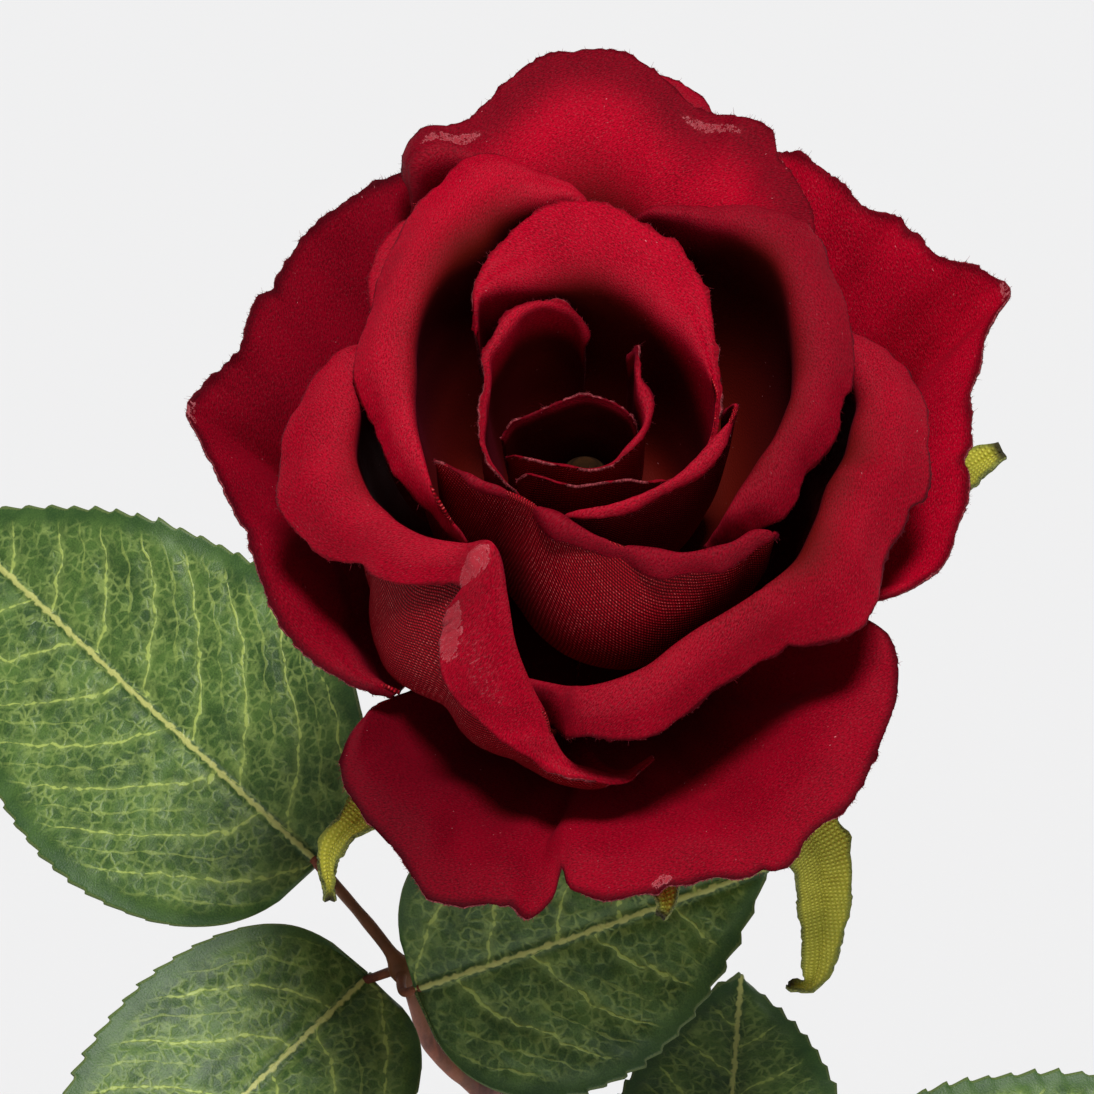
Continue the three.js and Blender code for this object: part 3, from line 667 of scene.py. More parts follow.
@dataclass(frozen=True)
class Twill(Finish):
    """The ribbed back of a petal's cloth."""

    name: str = "petal_twill"
    groove: Color = paint(74, 0, 6)
    rib: Color = paint(190, 12, 34)
    # painted highlight on the stitch tops
    stitch_highlight: Color = paint(240, 124, 120)
    border: Color = paint(110, 14, 26)
    # paler cloth from wear, also painted sheen on crushed patches
    wear_and_sheen: Color = paint(190, 76, 82)
    pitch: float = 0.4
    stitch: float = 0.34
    lean: float = -12.0

    def lay(self, b: Board) -> None:
        """Lays ribs of slanting stitches, their painted glints, and crushed parts, paler from wear and
        painted sheen.

        Args:
            b: the material's board.
        """
        cloth = b.stretched(b.pushed(b.cloth(), 6.0, 0.5), (1.0, 1.0, 1.0), self.lean)
        x, y, _ = b.split(cloth)
        rib = b.wave(y, self.pitch)
        slant = b.times_plus(y, 0.62, x)
        stitch = b.wave(slant, self.stitch)
        height = b.times(rib, b.times_plus(stitch, 0.75, 0.25))
        drift = b.noise(cloth, 5.0, 3.0)
        fuzz = b.noise(cloth, 0.2, 3.0, 0.65)
        top = b.times_plus(fuzz, 0.4, b.times(height, 0.65))
        color = b.blend(b.step(top, 0.16, 0.68), self.groove, self.rib)
        # painted highlights on the raised stitches
        glint = b.times(b.step(height, 0.6, 0.9), b.step(fuzz, 0.47, 0.62))
        color = b.blend(b.times(glint, b.step(drift, 0.2, 0.62)), color, self.stitch_highlight)
        color = b.blend(b.times(b.step(b.mark("edge"), 0.3, 0.0), 0.5), color, self.border)
        # crushed patches, paler partly from wear and partly as painted sheen
        crushed = b.times(b.mark("crush"), b.step(fuzz, 0.3, 0.7))
        color = b.blend(b.times(crushed, 0.7), color, self.wear_and_sheen)
        b.bump(b.times_plus(fuzz, 0.3, height), 0.12, 0.8)
        b.dress(
            Base_Color=color, Roughness=0.62, Specular_IOR_Level=0.1, Sheen_Weight=0.02,
            Sheen_Roughness=0.4, Sheen_Tint=(1.0, 0.16, 0.22),
        )


@dataclass(frozen=True)
class CutEdge(Finish):
    """The frayed edge of a piece of cloth: thread ends that catch the light, one by one."""

    name: str
    dark: Color
    light: Color
    grain: float = 0.25

    def lay(self, b: Board) -> None:
        """Lays a fine grain of two colours.

        Args:
            b: the material's board.
        """
        grain = b.noise(b.place(), self.grain, 2.0, 0.6)
        b.bump(grain, 0.1, 0.6)
        b.dress(Base_Color=b.blend(b.step(grain, 0.4, 0.66), self.dark, self.light), Roughness=0.8)


@dataclass(frozen=True)
class LeafPrint(Finish):
    """The printed face of a leaflet: a fine pale net and beaded veins on dark green satin."""

    name: str = "leaf_print"
    dark: Color = paint(48, 78, 32)
    green: Color = paint(90, 122, 54)
    net: Color = paint(158, 180, 96)
    vein: Color = paint(190, 208, 106)
    rib: Color = paint(204, 206, 120)
    band: Color = paint(48, 84, 38)
    frayed: Color = paint(120, 132, 76)
    gloss: float = 0.44
    vein_gap: float = 7.02
    cell: float = 1.4

    def ground(self, b: Board, cloth: Socket, grain: Socket, margin: Socket) -> Socket:
        """Lays the green under the veins, with its plain darker margin.

        Args:
            b: the material's board.
            cloth: where a point lies on the cloth.
            grain: fine noise.
            margin: how far a point is from the blade's edge.

        Returns:
            The colour.
        """
        drift = b.noise(cloth, 6.0, 4.0, 0.6)
        mixed = b.times_plus(grain, 0.4, b.times(drift, 0.6))
        color = b.blend(b.step(mixed, 0.36, 0.64), self.dark, self.green)
        # painted shade in the dip beside the midrib
        midrib_shade = b.step(b.math("ABSOLUTE", b.mark("across")), 1.5, 0.4)
        color = b.blend(b.times(midrib_shade, 0.6), color, self.dark)
        return b.blend(b.times(b.step(margin, 3.2, 0.4), 0.5), color, self.band)

    def net_lines(self, b: Board, cloth: Socket, margin: Socket) -> Socket:
        """Lays the net, patchy, and fading before the margin.

        Args:
            b: the material's board.
            cloth: where a point lies on the cloth.
            margin: how far a point is from the blade's edge.

        Returns:
            How strongly it is printed, 0 to 1.
        """
        fine = b.step(b.cells(b.pushed(cloth, 1.1, 0.9), self.cell, Measure.EDGE), 0.21, 0.0)
        patchy = b.step(b.noise(cloth, 3.2, 3.0, 0.65), 0.3, 0.72)
        inside = b.step(b.times_plus(b.noise(cloth, 5.0, 2.0), 2.4, margin), 2.6, 5.0)
        return b.times(b.times(fine, patchy), inside)

    def side_veins(self, b: Board, cloth: Socket, margin: Socket) -> tuple[Socket, Socket]:
        """Lays the beaded side veins, with weaker branches half way between them.

        Args:
            b: the material's board.
            cloth: where a point lies on the cloth.
            margin: how far a point is from the blade's edge.

        Returns:
            How strongly they are printed, and how strongly the paler cloth round them is.
        """
        away = b.times(b.math("PINGPONG", b.mark("phase"), 0.5), self.vein_gap)
        beaded = b.times_plus(b.noise(cloth, 0.9, 1.0), -0.9, b.math("ADD", away, 0.42))
        line = b.times(b.step(beaded, 0.22, -0.02), b.step(margin, 1.4, 4.5))
        between = b.math("SUBTRACT", self.vein_gap / 2, away)
        branch = b.times_plus(b.noise(cloth, 1.6, 2.0), -1.0, b.math("ADD", between, 0.42))
        far = b.times(b.step(b.math("ABSOLUTE", b.mark("across")), 4.0, 8.0), b.step(margin, 1.4, 4.0))
        weak = b.times(b.times(b.step(branch, 0.16, 0.0), far), 0.4)
        halo = b.times(b.step(away, 1.2, 0.2), b.step(margin, 2.5, 7.0))
        return b.math("MAXIMUM", line, weak), halo

    def lay(self, b: Board) -> None:
        """Lays the ground, the net, the side veins, the middle rib and the frayed edge.

        Args:
            b: the material's board.
        """
        cloth, margin = b.cloth(), b.mark("margin")
        grain = b.noise(cloth, 0.26, 3.0, 0.6)
        color = self.ground(b, cloth, grain, margin)
        mesh = self.net_lines(b, cloth, margin)
        line, halo = self.side_veins(b, cloth, margin)
        color = b.blend(b.times(mesh, 0.68), color, self.net)
        color = b.blend(b.times(halo, 0.25), color, self.net)
        color = b.blend(b.times(line, 0.72), color, self.vein)
        beads = b.step(b.noise(cloth, 1.1, 1.0), 0.4, 0.66)
        middle = b.times_plus(beads, -0.22, b.math("ABSOLUTE", b.mark("across")))
        color = b.blend(b.times(b.step(middle, 0.3, 0.04), 0.9), color, self.rib)
        edge = b.times_plus(grain, -0.4, margin)
        color = b.blend(b.times(b.step(edge, 0.15, 0.0), 0.5), color, self.frayed)
        lines = b.math("MAXIMUM", mesh, line)
        b.bump(b.times_plus(lines, 0.5, b.times(grain, 0.5)), 0.14, 0.8)
        b.dress(Base_Color=color, Roughness=self.gloss, Specular_IOR_Level=0.42)


@dataclass(frozen=True)
class LeafBack(Finish):
    """The pale unprinted underside of a leaflet."""

    name: str = "leaf_back"
    pale: Color = paint(112, 134, 90)
    deep: Color = paint(84, 106, 66)
    rib: Color = paint(150, 166, 112)
    vein_gap: float = 5.616

    def lay(self, b: Board) -> None:
        """Lays a plain weave on the bias, with the veins showing through.

        Args:
            b: the material's board.
        """
        cloth = b.cloth()
        x, y, _ = b.split(b.stretched(cloth, (1.0, 1.0, 1.0), 45))
        weave = b.times(b.wave(x, 0.5), b.wave(y, 0.5))
        grain = b.noise(cloth, 0.4, 3.0, 0.6)
        away = b.times(b.math("PINGPONG", b.mark("phase"), 0.5), self.vein_gap)
        vein = b.times(b.step(away, 0.55, 0.1), b.step(b.mark("margin"), 0.6, 3.4))
        color = b.blend(b.times_plus(grain, 0.5, b.times(weave, 0.4)), self.deep, self.pale)
        color = b.blend(b.times(vein, 0.6), color, self.rib)
        b.bump(b.times_plus(weave, 0.6, b.times(grain, 0.6)), 0.12, 0.8)
        b.dress(Base_Color=color, Roughness=0.75, Specular_IOR_Level=0.25, Sheen_Weight=0.1)


@dataclass(frozen=True)
class SepalWeave(Finish):
    """The coarse olive weave of a sepal."""

    name: str = "sepal_weave"
    thread: Color = paint(238, 232, 90)
    shade: Color = paint(186, 182, 52)
    green: Color = paint(120, 132, 44)
    edge: Color = paint(120, 128, 54)
    tip: Color = paint(60, 56, 26)
    pitch: float = 0.5

    def lay(self, b: Board) -> None:
        """Lays the weave, greener in patches, with its edge and its brown tip.

        Args:
            b: the material's board.
        """
        cloth = b.pushed(b.cloth(), 4.0, 0.4)
        x, y, _ = b.split(b.stretched(cloth, (1.0, 1.0, 1.0), 8))
        warp, weft = b.wave(x, self.pitch), b.wave(y, self.pitch)
        height = b.times(warp, weft)
        grain = b.noise(cloth, 0.25, 3.0, 0.6)
        tone = b.times_plus(grain, 0.4, b.times(height, 0.75))
        color = b.blend(b.step(tone, 0.2, 0.7), self.shade, self.thread)
        drift = b.step(b.noise(cloth, 7.0, 2.0), 0.35, 0.7)
        color = b.blend(b.times(drift, 0.3), color, self.green)
        color = b.blend(b.times(b.step(b.mark("edge"), 0.6, 0.1), 0.8), color, self.edge)
        color = b.blend(b.step(b.mark("tip"), 1.7, 0.3), color, self.tip)
        b.bump(b.times_plus(grain, 0.35, height), 0.2, 0.85)
        b.dress(Base_Color=color, Roughness=0.7, Specular_IOR_Level=0.25, Sheen_Weight=0.06)


@dataclass(frozen=True)
class MouldedPlastic(Finish):
    """A soft moulded stalk, mottled along its length."""

    name: str
    dark: Color
    light: Color
    touch: Color
    roughness: float = 0.5

    def lay(self, b: Board) -> None:
        """Lays long mottles, patches of a third colour, and fine spots.

        Args:
            b: the material's board.
        """
        long = b.noise(b.place((1000.0, 1000.0, 260.0)), 2.2, 4.0, 0.6)
        spots = b.noise(b.place(), 0.8, 3.0, 0.6)
        color = b.blend(b.step(long, 0.32, 0.68), self.dark, self.light)
        patch = b.step(b.noise(b.place(), 14.0, 2.0), 0.45, 0.7)
        color = b.blend(b.times(patch, 0.7), color, self.touch)
        b.bump(b.times_plus(spots, 0.5, long), 0.22, 0.7)
        roughness = b.times_plus(spots, 0.2, self.roughness - 0.1)
        b.dress(Base_Color=color, Specular_IOR_Level=0.42, Roughness=roughness)


@dataclass(frozen=True)
class Wadding(Finish):
    """Dark brown tape wound round the bloom's core."""

    name: str = "core_wadding"
    dark: Color = paint(20, 12, 4)
    light: Color = paint(64, 36, 14)

    def lay(self, b: Board) -> None:
        """Lays fuzzy turns of tape.

        Args:
            b: the material's board.
        """
        place = b.place()
        _, _, z = b.split(place)
        wound = b.wave(b.math("ADD", z, b.noise(place, 3.0, 2.0)), 1.1)
        fuzz = b.noise(place, 0.4, 3.0, 0.6)
        color = b.blend(b.times_plus(fuzz, 0.5, b.times(wound, 0.4)), self.dark, self.light)
        b.bump(b.math("ADD", wound, fuzz), 0.25, 0.8)
        b.dress(Base_Color=color, Roughness=0.95, Specular_IOR_Level=0.1)


@dataclass(frozen=True)
class Glaze(Finish):
    """A milky glaze, thin and warm over the lip and pooled towards the foot."""

    name: str = "vase_glaze"
    milk: Color = paint(226, 224, 216)
    pool: Color = paint(198, 206, 202)
    thin: Color = paint(206, 190, 166)
    iron: Color = paint(120, 98, 72)
    crack: Color = paint(150, 140, 124)
    lip_height: float = 186.0

    def lay(self, b: Board) -> None:
        """Lays the glaze, then its iron specks, its fine crazing and the throwing rings under it.

        Args:
            b: the material's board.
        """
        place = b.place()
        _, _, z = b.split(place)
        cloud = b.noise(b.place((1000.0, 1000.0, 600.0)), 26.0, 4.0, 0.55)
        color = b.blend(b.step(b.times_plus(cloud, -26.0, z), 34.0, -6.0), self.milk, self.pool)
        lip = b.step(b.times_plus(cloud, 1.2, z), self.lip_height - 1.2, self.lip_height + 0.4)
        color = b.blend(b.times(lip, 0.7), color, self.thin)
        specks = b.step(b.cells(place, 3.1, Measure.MIDDLE), 0.085, 0.05)
        specks = b.times(specks, b.step(b.noise(place, 7.0, 1.0), 0.5, 0.56))
        color = b.blend(b.times(specks, 0.55), color, self.iron)
        crazing = b.step(b.cells(b.pushed(place, 5.0, 2.0), 4.5, Measure.EDGE), 0.016, 0.004)
        color = b.blend(b.times(crazing, 0.22), color, self.crack)
        turning = b.wave(b.math("ADD", z, b.noise(place, 12.0, 1.0)), 2.4)
        b.bump(b.times_plus(turning, 0.22, cloud), 0.5, 0.35)
        b.dress(
            Base_Color=color, Roughness=0.16, Specular_IOR_Level=0.5, Coat_Weight=0.35, Coat_Roughness=0.06,
        )


@dataclass(frozen=True)
class BareClay(Finish):
    """The unglazed ring that the vase stands on."""

    name: str = "bare_clay"
    dark: Color = paint(168, 146, 118)
    light: Color = paint(204, 186, 158)

    def lay(self, b: Board) -> None:
        """Lays the grit of the clay.

        Args:
            b: the material's board.
        """
        grit = b.noise(b.place(), 0.5, 4.0, 0.7)
        b.bump(grit, 0.2, 0.8)
        b.dress(Base_Color=b.blend(b.step(grit, 0.35, 0.7), self.dark, self.light), Roughness=0.85)


@dataclass(frozen=True)
class Paper(Finish):
    """The plain pale floor."""

    name: str = "pale_floor"
    tone: Color = (0.83, 0.83, 0.835)

    def lay(self, b: Board) -> None:
        """Gives the floor its one tone."""
        b.dress(Base_Color=self.tone, Roughness=0.9, Specular_IOR_Level=0.1)


# ---------- what every piece goes through ----------


class Slot(Enum):
    """The record's material slots."""

    PETAL = "petal_fabric"
    LEAF = "leaf_fabric"
    SEPAL = "sepal_fabric"
    CORE = "core_fabric"
    STEM = "stem_plastic"
    CALYX = "calyx_plastic"
    GLAZE = "glaze"


def settle(
    piece: bpy.types.Object, materials: Sequence[bpy.types.Material], nodes: Sequence[str] = ()
) -> None:
    """Dresses a piece and ties it to the part.

    Args:
        piece: the finished object.
        materials: its materials, in the order of its faces' material numbers.
        nodes: the CAD nodes that it stands for.
    """
    for material in materials:
        piece.data.materials.append(material)
    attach(piece, BODY)
    if nodes:
        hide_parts(*nodes)
    LOG.info("%s: %d points", piece.name, len(piece.data.vertices))


# ---------- the bloom ----------


@dataclass
class Core:
    """The tapered core that the petals are threaded on, wound with dark tape."""

    foot_radius: float = 6.2
    top_radius: float = 2.5
    height: float = 26.0
    bottom: float = -0.6
    winding: float = 0.1

    @classmethod
    def radius_at(cls, height: float) -> float:
        """Its radius at a height above the foot of the petals."""
        return cls.foot_radius + (cls.top_radius - cls.foot_radius) * min(height / cls.height, 1.0)

    def build(self) -> None:
        """Spins the core up and winds it."""
        foot = self.foot_radius
        profile = [(0.0, self.bottom), (foot - 0.4, self.bottom), (foot, self.bottom + 0.5)]
        for k in range(1, 25):
            h = k * (self.height - 2) / 24
            profile.append((self.radius_at(h) + self.winding * math.sin(5.7 * h), h))
        profile += [(self.top_radius * 0.6, self.height - 0.3), (0.0, self.height)]
        piece = spun("core_wadding", profile, 48, in_bloom)
        settle(piece, [Wadding().material()], ["bloom_core"])


@dataclass(frozen=True)
class Lay:
    """Where the points of a petal lie in it, in millimetres, as tables [column, row]."""

    where: np.ndarray  # the rib number of each column
    along: np.ndarray  # from the core
    across: np.ndarray  # from the first side, measured at the lip
    cloth: np.ndarray  # on the flat cloth, [column, row, 2]

    @property
    def top(self) -> np.ndarray:
        """How far each point is inside the lip."""
        return self.along[:, -1:] - self.along

    @property
    def share(self) -> np.ndarray:
        """How far up its rib each point is, 0 to 1."""
        return self.along / self.along[:, -1:]

    def ripple(self, steepness: float, size: float, seed: int) -> np.ndarray:
        """Waves that run in from the lip, the less steep the longer."""
        return ripple(self.across, steepness * self.top, size, seed)


@dataclass(frozen=True)
class Crush:
    """A crushed patch of cloth, paler partly from wear and partly as painted sheen: its rib, how far inside
    the edge it lies, its half length and width.
    """

    rib: float
    inside: float
    length: float
    width: float
    depth: float = 1.0

    def cover(self, lay: Lay) -> np.ndarray:
        """Spreads the patch over a petal.

        Args:
            lay: where the petal's points lie.

        Returns:
            How much it covers each of them, 0 to 1.
        """
        middle = np.interp(self.rib, np.sort(lay.where), lay.across[np.argsort(lay.where), -1])
        away = np.hypot((lay.across - middle) / self.length, (lay.top - self.inside) / self.width)
        return self.depth * (1 - ramp(away, 0.5, 1.3))


@dataclass(frozen=True)
class Nick:
    """A notch in a cut edge: at which rib, how deep, and how wide, counted in ribs."""

    rib: float
    depth: float
    width: float


@dataclass(frozen=True)
class Fibre:
    """A loose thread end on a cut edge, in the part's frame, millimetres."""

    root: np.ndarray
    way: np.ndarray
    length: float


@dataclass(frozen=True)
class Clothwork:
    """How every petal is set, cut and frayed, in millimetres."""

    foot_gap: float = 0.3  # between a blade's foot and the core
    half_blade: float = 0.35
    seat_step: float = 1.1  # from one petal's seat up to the next one's
    column_step: float = 0.42
    fewest_columns: int = 60
    most_columns: int = 360
    rows: int = 54
    row_crowding: float = 1.35  # rows lie closer towards the lip
    rib_points: int = 600
    rib_length: float = 50.0  # what a nick's depth is measured against
    belly_power: int = 4
    fan: float = 40.0  # from the core to the middle of the fan that the flat cloth makes
    crinkle: float = 0.22
    fibres: float = 6.5  # for each millimetre of lip
    stagger: float = 0.6  # how far a fibre leans


WORK = Clothwork()


@dataclass(frozen=True)
class PetalCut:
    """One petal: a fan of ribs that stand on the core, in the order of its cut ends.

    A station is azimuth, radius, height, reach, drop and sometimes turn: the cut end of one rib round the
    bloom's axis, with azimuth 0 at the front and 90 on the right. The rib rises as a bowl to its shoulder,
    reach inside and drop above the cut end, and rolls out from there. The cloth is painted darker from about
    a set number of millimetres inside the edge, as shade in the bloom's hollows (partly darker dyeing); in a
    rim along the edge, as painted shade where the lip rolls away from the light; and at its first ribs, as
    painted shade. How dark each petal is dyed is partly its cloth and partly painted shade; grain is how it
    was turned when cut.
    """

    node: str
    centre: float
    spread: float
    cup: float
    fullness: float
    stations: tuple[Station, ...]
    belly: float = 0.0
    belly_place: float = 0.5
    # roughly where, in millimetres inside the edge, the painted shade of the hollows begins
    shade_inset: float = 9.0
    # width in millimetres of the painted shade along the edge, where the lip rolls away from the light
    rim: float = 0.0
    # how light the petal is: partly its cloth's dyeing, partly painted shade for petals turned from the light
    dye_and_shade: float = 1.0
    # painted shade over the first ribs
    first_ribs_shade: float = 0.0
    grain: float = 0.0
    crushes: tuple[Crush, ...] = ()
    nicks: tuple[Nick, ...] = ()

    def rib(self, seat: float, swell: float, station: Station) -> list[Point]:
        """The turning points of one rib, from the core out.

        Args:
            seat: how high up the core the petal stands.
            swell: how far the rib's middle is blown out.
            station: the rib's cut end.

        Returns:
            Points in the bloom's frame.
        """
        azimuth, radius, height, reach, drop = station[:5]
        turn = station[5] if len(station) > 5 else 0.0
        foot = Core.radius_at(seat) + WORK.foot_gap + WORK.half_blade
        shoulder = (azimuth + turn, radius - reach, height + drop)
        foot_azimuth = self.centre + self.spread * (shoulder[0] - self.centre)
        cup = math.radians(self.cup)
        points = []
        for along in (0.0, 0.25, 0.5, 0.75, 1.0):
            outward = (math.sin(along * cup) / math.sin(cup)) ** self.fullness
            upward = (1 - math.cos(along * cup)) / (1 - math.cos(cup))
            points.append((
                foot_azimuth + (shoulder[0] - foot_azimuth) * along,
                foot + (shoulder[1] - foot) * outward + swell * math.sin(math.pi * along),
                seat + (shoulder[2] - seat) * upward,
            ))
        crest = 0.2 * reach + 0.15
        bend = 1.1 if drop < 0 else 2.0
        for along in (0.5, 1.0):
            rise = 2 * along * (1 - along) * crest
            points.append((
                shoulder[0] - turn * along,
                shoulder[1] + reach * along,
                shoulder[2] - drop * along**bend + rise,
            ))
        return [(r * math.sin(math.radians(a)), -r * math.cos(math.radians(a)), h) for a, r, h in points]

    def fan(self, seat: float) -> tuple[np.ndarray, np.ndarray, float]:
        """Sets the ribs side by side and draws close columns through them.

        Args:
            seat: how high up the core the petal stands.

        Returns:
            The columns' turning points in the bloom's frame, the rib number of each, and the lip's length.
        """
        where = np.arange(float(len(self.stations)))
        skew = math.log(0.5) / math.log(self.belly_place)
        swell = self.belly * np.sin(math.pi * (where / where[-1]) ** skew) ** WORK.belly_power
        ribs = np.array([self.rib(seat, wide, station) for wide, station in zip(swell, self.stations)])
        if self.stations[0][0] > self.stations[-1][0]:
            ribs, where = ribs[::-1], where[::-1]
        lip = np.linalg.norm(np.diff(ribs[:, -1], axis=0), axis=1).sum()
        columns = int(np.clip(lip / WORK.column_step, WORK.fewest_columns, WORK.most_columns))
        numbers = np.repeat(where[:, None, None], ribs.shape[1], 1) * 1e-4  # too small to bend the curve
        drawn = through(np.concatenate((ribs, numbers), axis=2), columns)
        return drawn[:, :, :3], drawn[:, 0, 3] * 1e4, lip

    def trimmed(self, drawn: np.ndarray, where: np.ndarray) -> np.ndarray:
        """Lays rows across the columns, and stops them short at the nicks.

        Args:
            drawn: the columns' turning points.
            where: the rib number of each.

        Returns:
            The petal's plain surface in the part's frame.
        """
        fine = through(drawn.swapaxes(0, 1), WORK.rib_points).swapaxes(0, 1)
        notches = sum((n.depth * np.exp(-(((where - n.rib) / n.width) ** 2)) for n in self.nicks), 0 * where)
        kept = 1 - notches / WORK.rib_length
        rows = 1 - (1 - np.linspace(0, 1, WORK.rows)) ** WORK.row_crowding
        pick = np.rint(kept[:, None] * rows * (WORK.rib_points - 1)).astype(int)
        return in_bloom(np.take_along_axis(fine, pick[..., None], axis=1))

    def laid(self, surface: np.ndarray, where: np.ndarray) -> Lay:
        """Measures the petal and lays it flat, as a part of a ring, turned by its grain.

        Args:
            surface: its plain surface.
            where: the rib number of each column.

        Returns:
            Where its points lie.
        """
        along = run_length(surface, 1)
        across = run_length(surface, 0)[:, -1:] * np.ones((1, WORK.rows))
        angle = (across - across[-1:] / 2) / (np.mean(along[:, -1]) + WORK.fan)
        cloth = np.stack(((along + WORK.fan) * np.sin(angle), (along + WORK.fan) * np.cos(angle)), -1)
        turn = math.radians(self.grain)
        cloth = cloth @ np.array(((math.cos(turn), math.sin(turn)), (-math.sin(turn), math.cos(turn))))
        return Lay(where, along, across, cloth)

    def waves(self, lay: Lay, seed: int) -> np.ndarray:
        """Waves the cloth: at its lip, finer along the cut edge, slowly all over, and where it is crushed.

        Args:
            lay: where the petal's points lie.
            seed: the first of its own seeds.

        Returns:
            How far each point is lifted off the plain surface.
        """
        lift = 0.42 * (1 - ramp(lay.top, 0, 8.5)) * lay.ripple(0.3, 8.5, seed)
        lift += 0.12 * (1 - ramp(lay.top, 0, 5)) * lay.ripple(0.4, 2.7, seed + 1)
        lift += 0.3 * ramp(lay.share, 0.35, 0.7) * lay.ripple(1.0, 19, seed + 2)
        lift += 0.1 * np.clip(1 - lay.top / 1.2, 0, 1) ** 2
        for crush in self.crushes:
            crinkle = ripple(lay.cloth[..., 0], lay.cloth[..., 1], 1.3, seed + 3)
            lift += WORK.crinkle * crush.cover(lay) * crinkle
        return lift

    def marks(self, lay: Lay, surface: np.ndarray, normal: np.ndarray) -> dict[str, np.ndarray]:
        """Marks what the finishes need to know.

        Args:
            lay: where the petal's points lie.
            surface: where they are.
            normal: which way the plain surface looks there.

        Returns:
            How near the edge, how sharply bent, how crushed, how much painted shade they get from lying deep
            in the bloom, and how dyed and painted in shade they are.
        """
        side = np.minimum(lay.across, lay.across[-1:] - lay.across) * lay.share
        slope = np.gradient(surface, axis=1)
        pace = np.maximum(np.linalg.norm(slope, axis=-1, keepdims=True), 0.05)
        bend = np.gradient(slope, axis=1) / pace**2
        crushed = sum((c.cover(lay) for c in self.crushes), np.zeros_like(lay.top))
        # painted shade along a rolled rim, where the lip turns away from the light
        brushed = 1 - 0.6 * ramp(self.rim - lay.top, 0, 0.8 * self.rim + 0.01)
        return {
            "edge": np.clip(np.minimum(lay.top, side), 0, 10),
            "ridge": ramp(np.sum(bend * normal, -1), 0.05, 0.28),
            "crush": np.clip(crushed, 0, 1),
            # painted shade of the bloom's hollows, from some way inside the edge
            "tone": 1 - 0.96 * ramp(lay.top, 0.55 * self.shade_inset, 1.25 * self.shade_inset),
            # how dark each petal is: partly its dyeing, partly painted shade, times the painted shade of the
            # rim and of the first ribs
            "dye_and_shade": self.dye_and_shade * brushed * (1 - self.first_ribs_shade * (1 - ramp(lay.where[:, None], 3.0, 9.0))),
        }

    def sheet(self, order: int, fibres: list[Fibre]) -> Sheet:
        """Lays the petal out as cloth.

        Args:
            order: its place from the outermost in, which sets its seat and its own small waves.
            fibres: where its loose thread ends are added.

        Returns:
            The petal's sheet.
        """
        seed = 100 + 10 * order
        drawn, where, lip = self.fan(1 + WORK.seat_step * order)
        surface = self.trimmed(drawn, where)
        lay = self.laid(surface, where)
        normal = normals_of(surface)
        outward = surface[:, -1] - surface[:, -3]
        outward /= np.linalg.norm(outward, axis=-1, keepdims=True)
        surface = surface + normal * self.waves(lay, seed)[..., None]
        lip_at = lay.across[:, -1]
        ragged = 0.17 * ripple(lip_at, 0, 1.1, seed + 4) + 0.3 * ripple(lip_at, 0, 4.5, seed + 5)
        surface[:, -1] += outward * ragged[:, None]
        draw = np.random.default_rng(seed + 6)
        for i in draw.integers(1, len(where) - 1, int(lip * WORK.fibres)):
            way = outward[i] + draw.normal(0, WORK.stagger, 3)
            way /= np.linalg.norm(way)
            fibres.append(Fibre(surface[i, -1], way, float(np.clip(0.1 + draw.exponential(0.16), 0.1, 0.9))))
        return Sheet(surface, lay.cloth, self.marks(lay, surface, normal))


@dataclass
class Bloom:
    """Eighteen petals of velvet-faced twill, and the thread ends on their cut edges."""

    cuts: tuple[PetalCut, ...]
    cloth_thickness: float = 0.32
    fibre_radius: float = 0.034
    fibre_tip: float = 0.008
    fibre_root: float = 0.3  # how much of a fibre is inside the cloth

    def build(self) -> None:
        """Builds and dresses every petal with the loose threads of its edge."""
        edge = CutEdge("petal_cut_edge", paint(92, 6, 18), paint(172, 66, 74)).material()
        finishes = [Twill().material(), Velvet().material(), edge]
        thread = CutEdge("petal_thread", paint(84, 6, 18), paint(150, 24, 42)).material()
        for order, cut in enumerate(self.cuts):
            fibres: list[Fibre] = []
            piece = cut.sheet(order, fibres).to_object(f"{cut.node}_cloth")
            thicken(piece, self.cloth_thickness)
            settle(piece, finishes, [cut.node])
            settle(self.threads(fibres, f"{cut.node}_threads"), [thread])

    def threads(self, fibres: Sequence[Fibre], name: str) -> bpy.types.Object:
        """Makes the loose thread ends of one petal as one piece of fine spikes.

        Args:
            fibres: the thread ends.
            name: the piece's name.

        Returns:
            The piece.
        """
        bm = bmesh.new()
        for fibre in fibres:
            turn = Vector((0, 0, 1)).rotation_difference(Vector(fibre.way)).to_matrix().to_4x4()
            middle = fibre.root + fibre.way * (fibre.length / 2 - self.fibre_root / 2)
            bmesh.ops.create_cone(
                bm, cap_ends=True, segments=3, radius1=self.fibre_radius, radius2=self.fibre_tip,
                depth=fibre.length + self.fibre_root, matrix=Matrix.Translation(Vector(middle)) @ turn,
            )
        return object_of(bm, name, smooth=False)


# ---------- calyx and sepals ----------


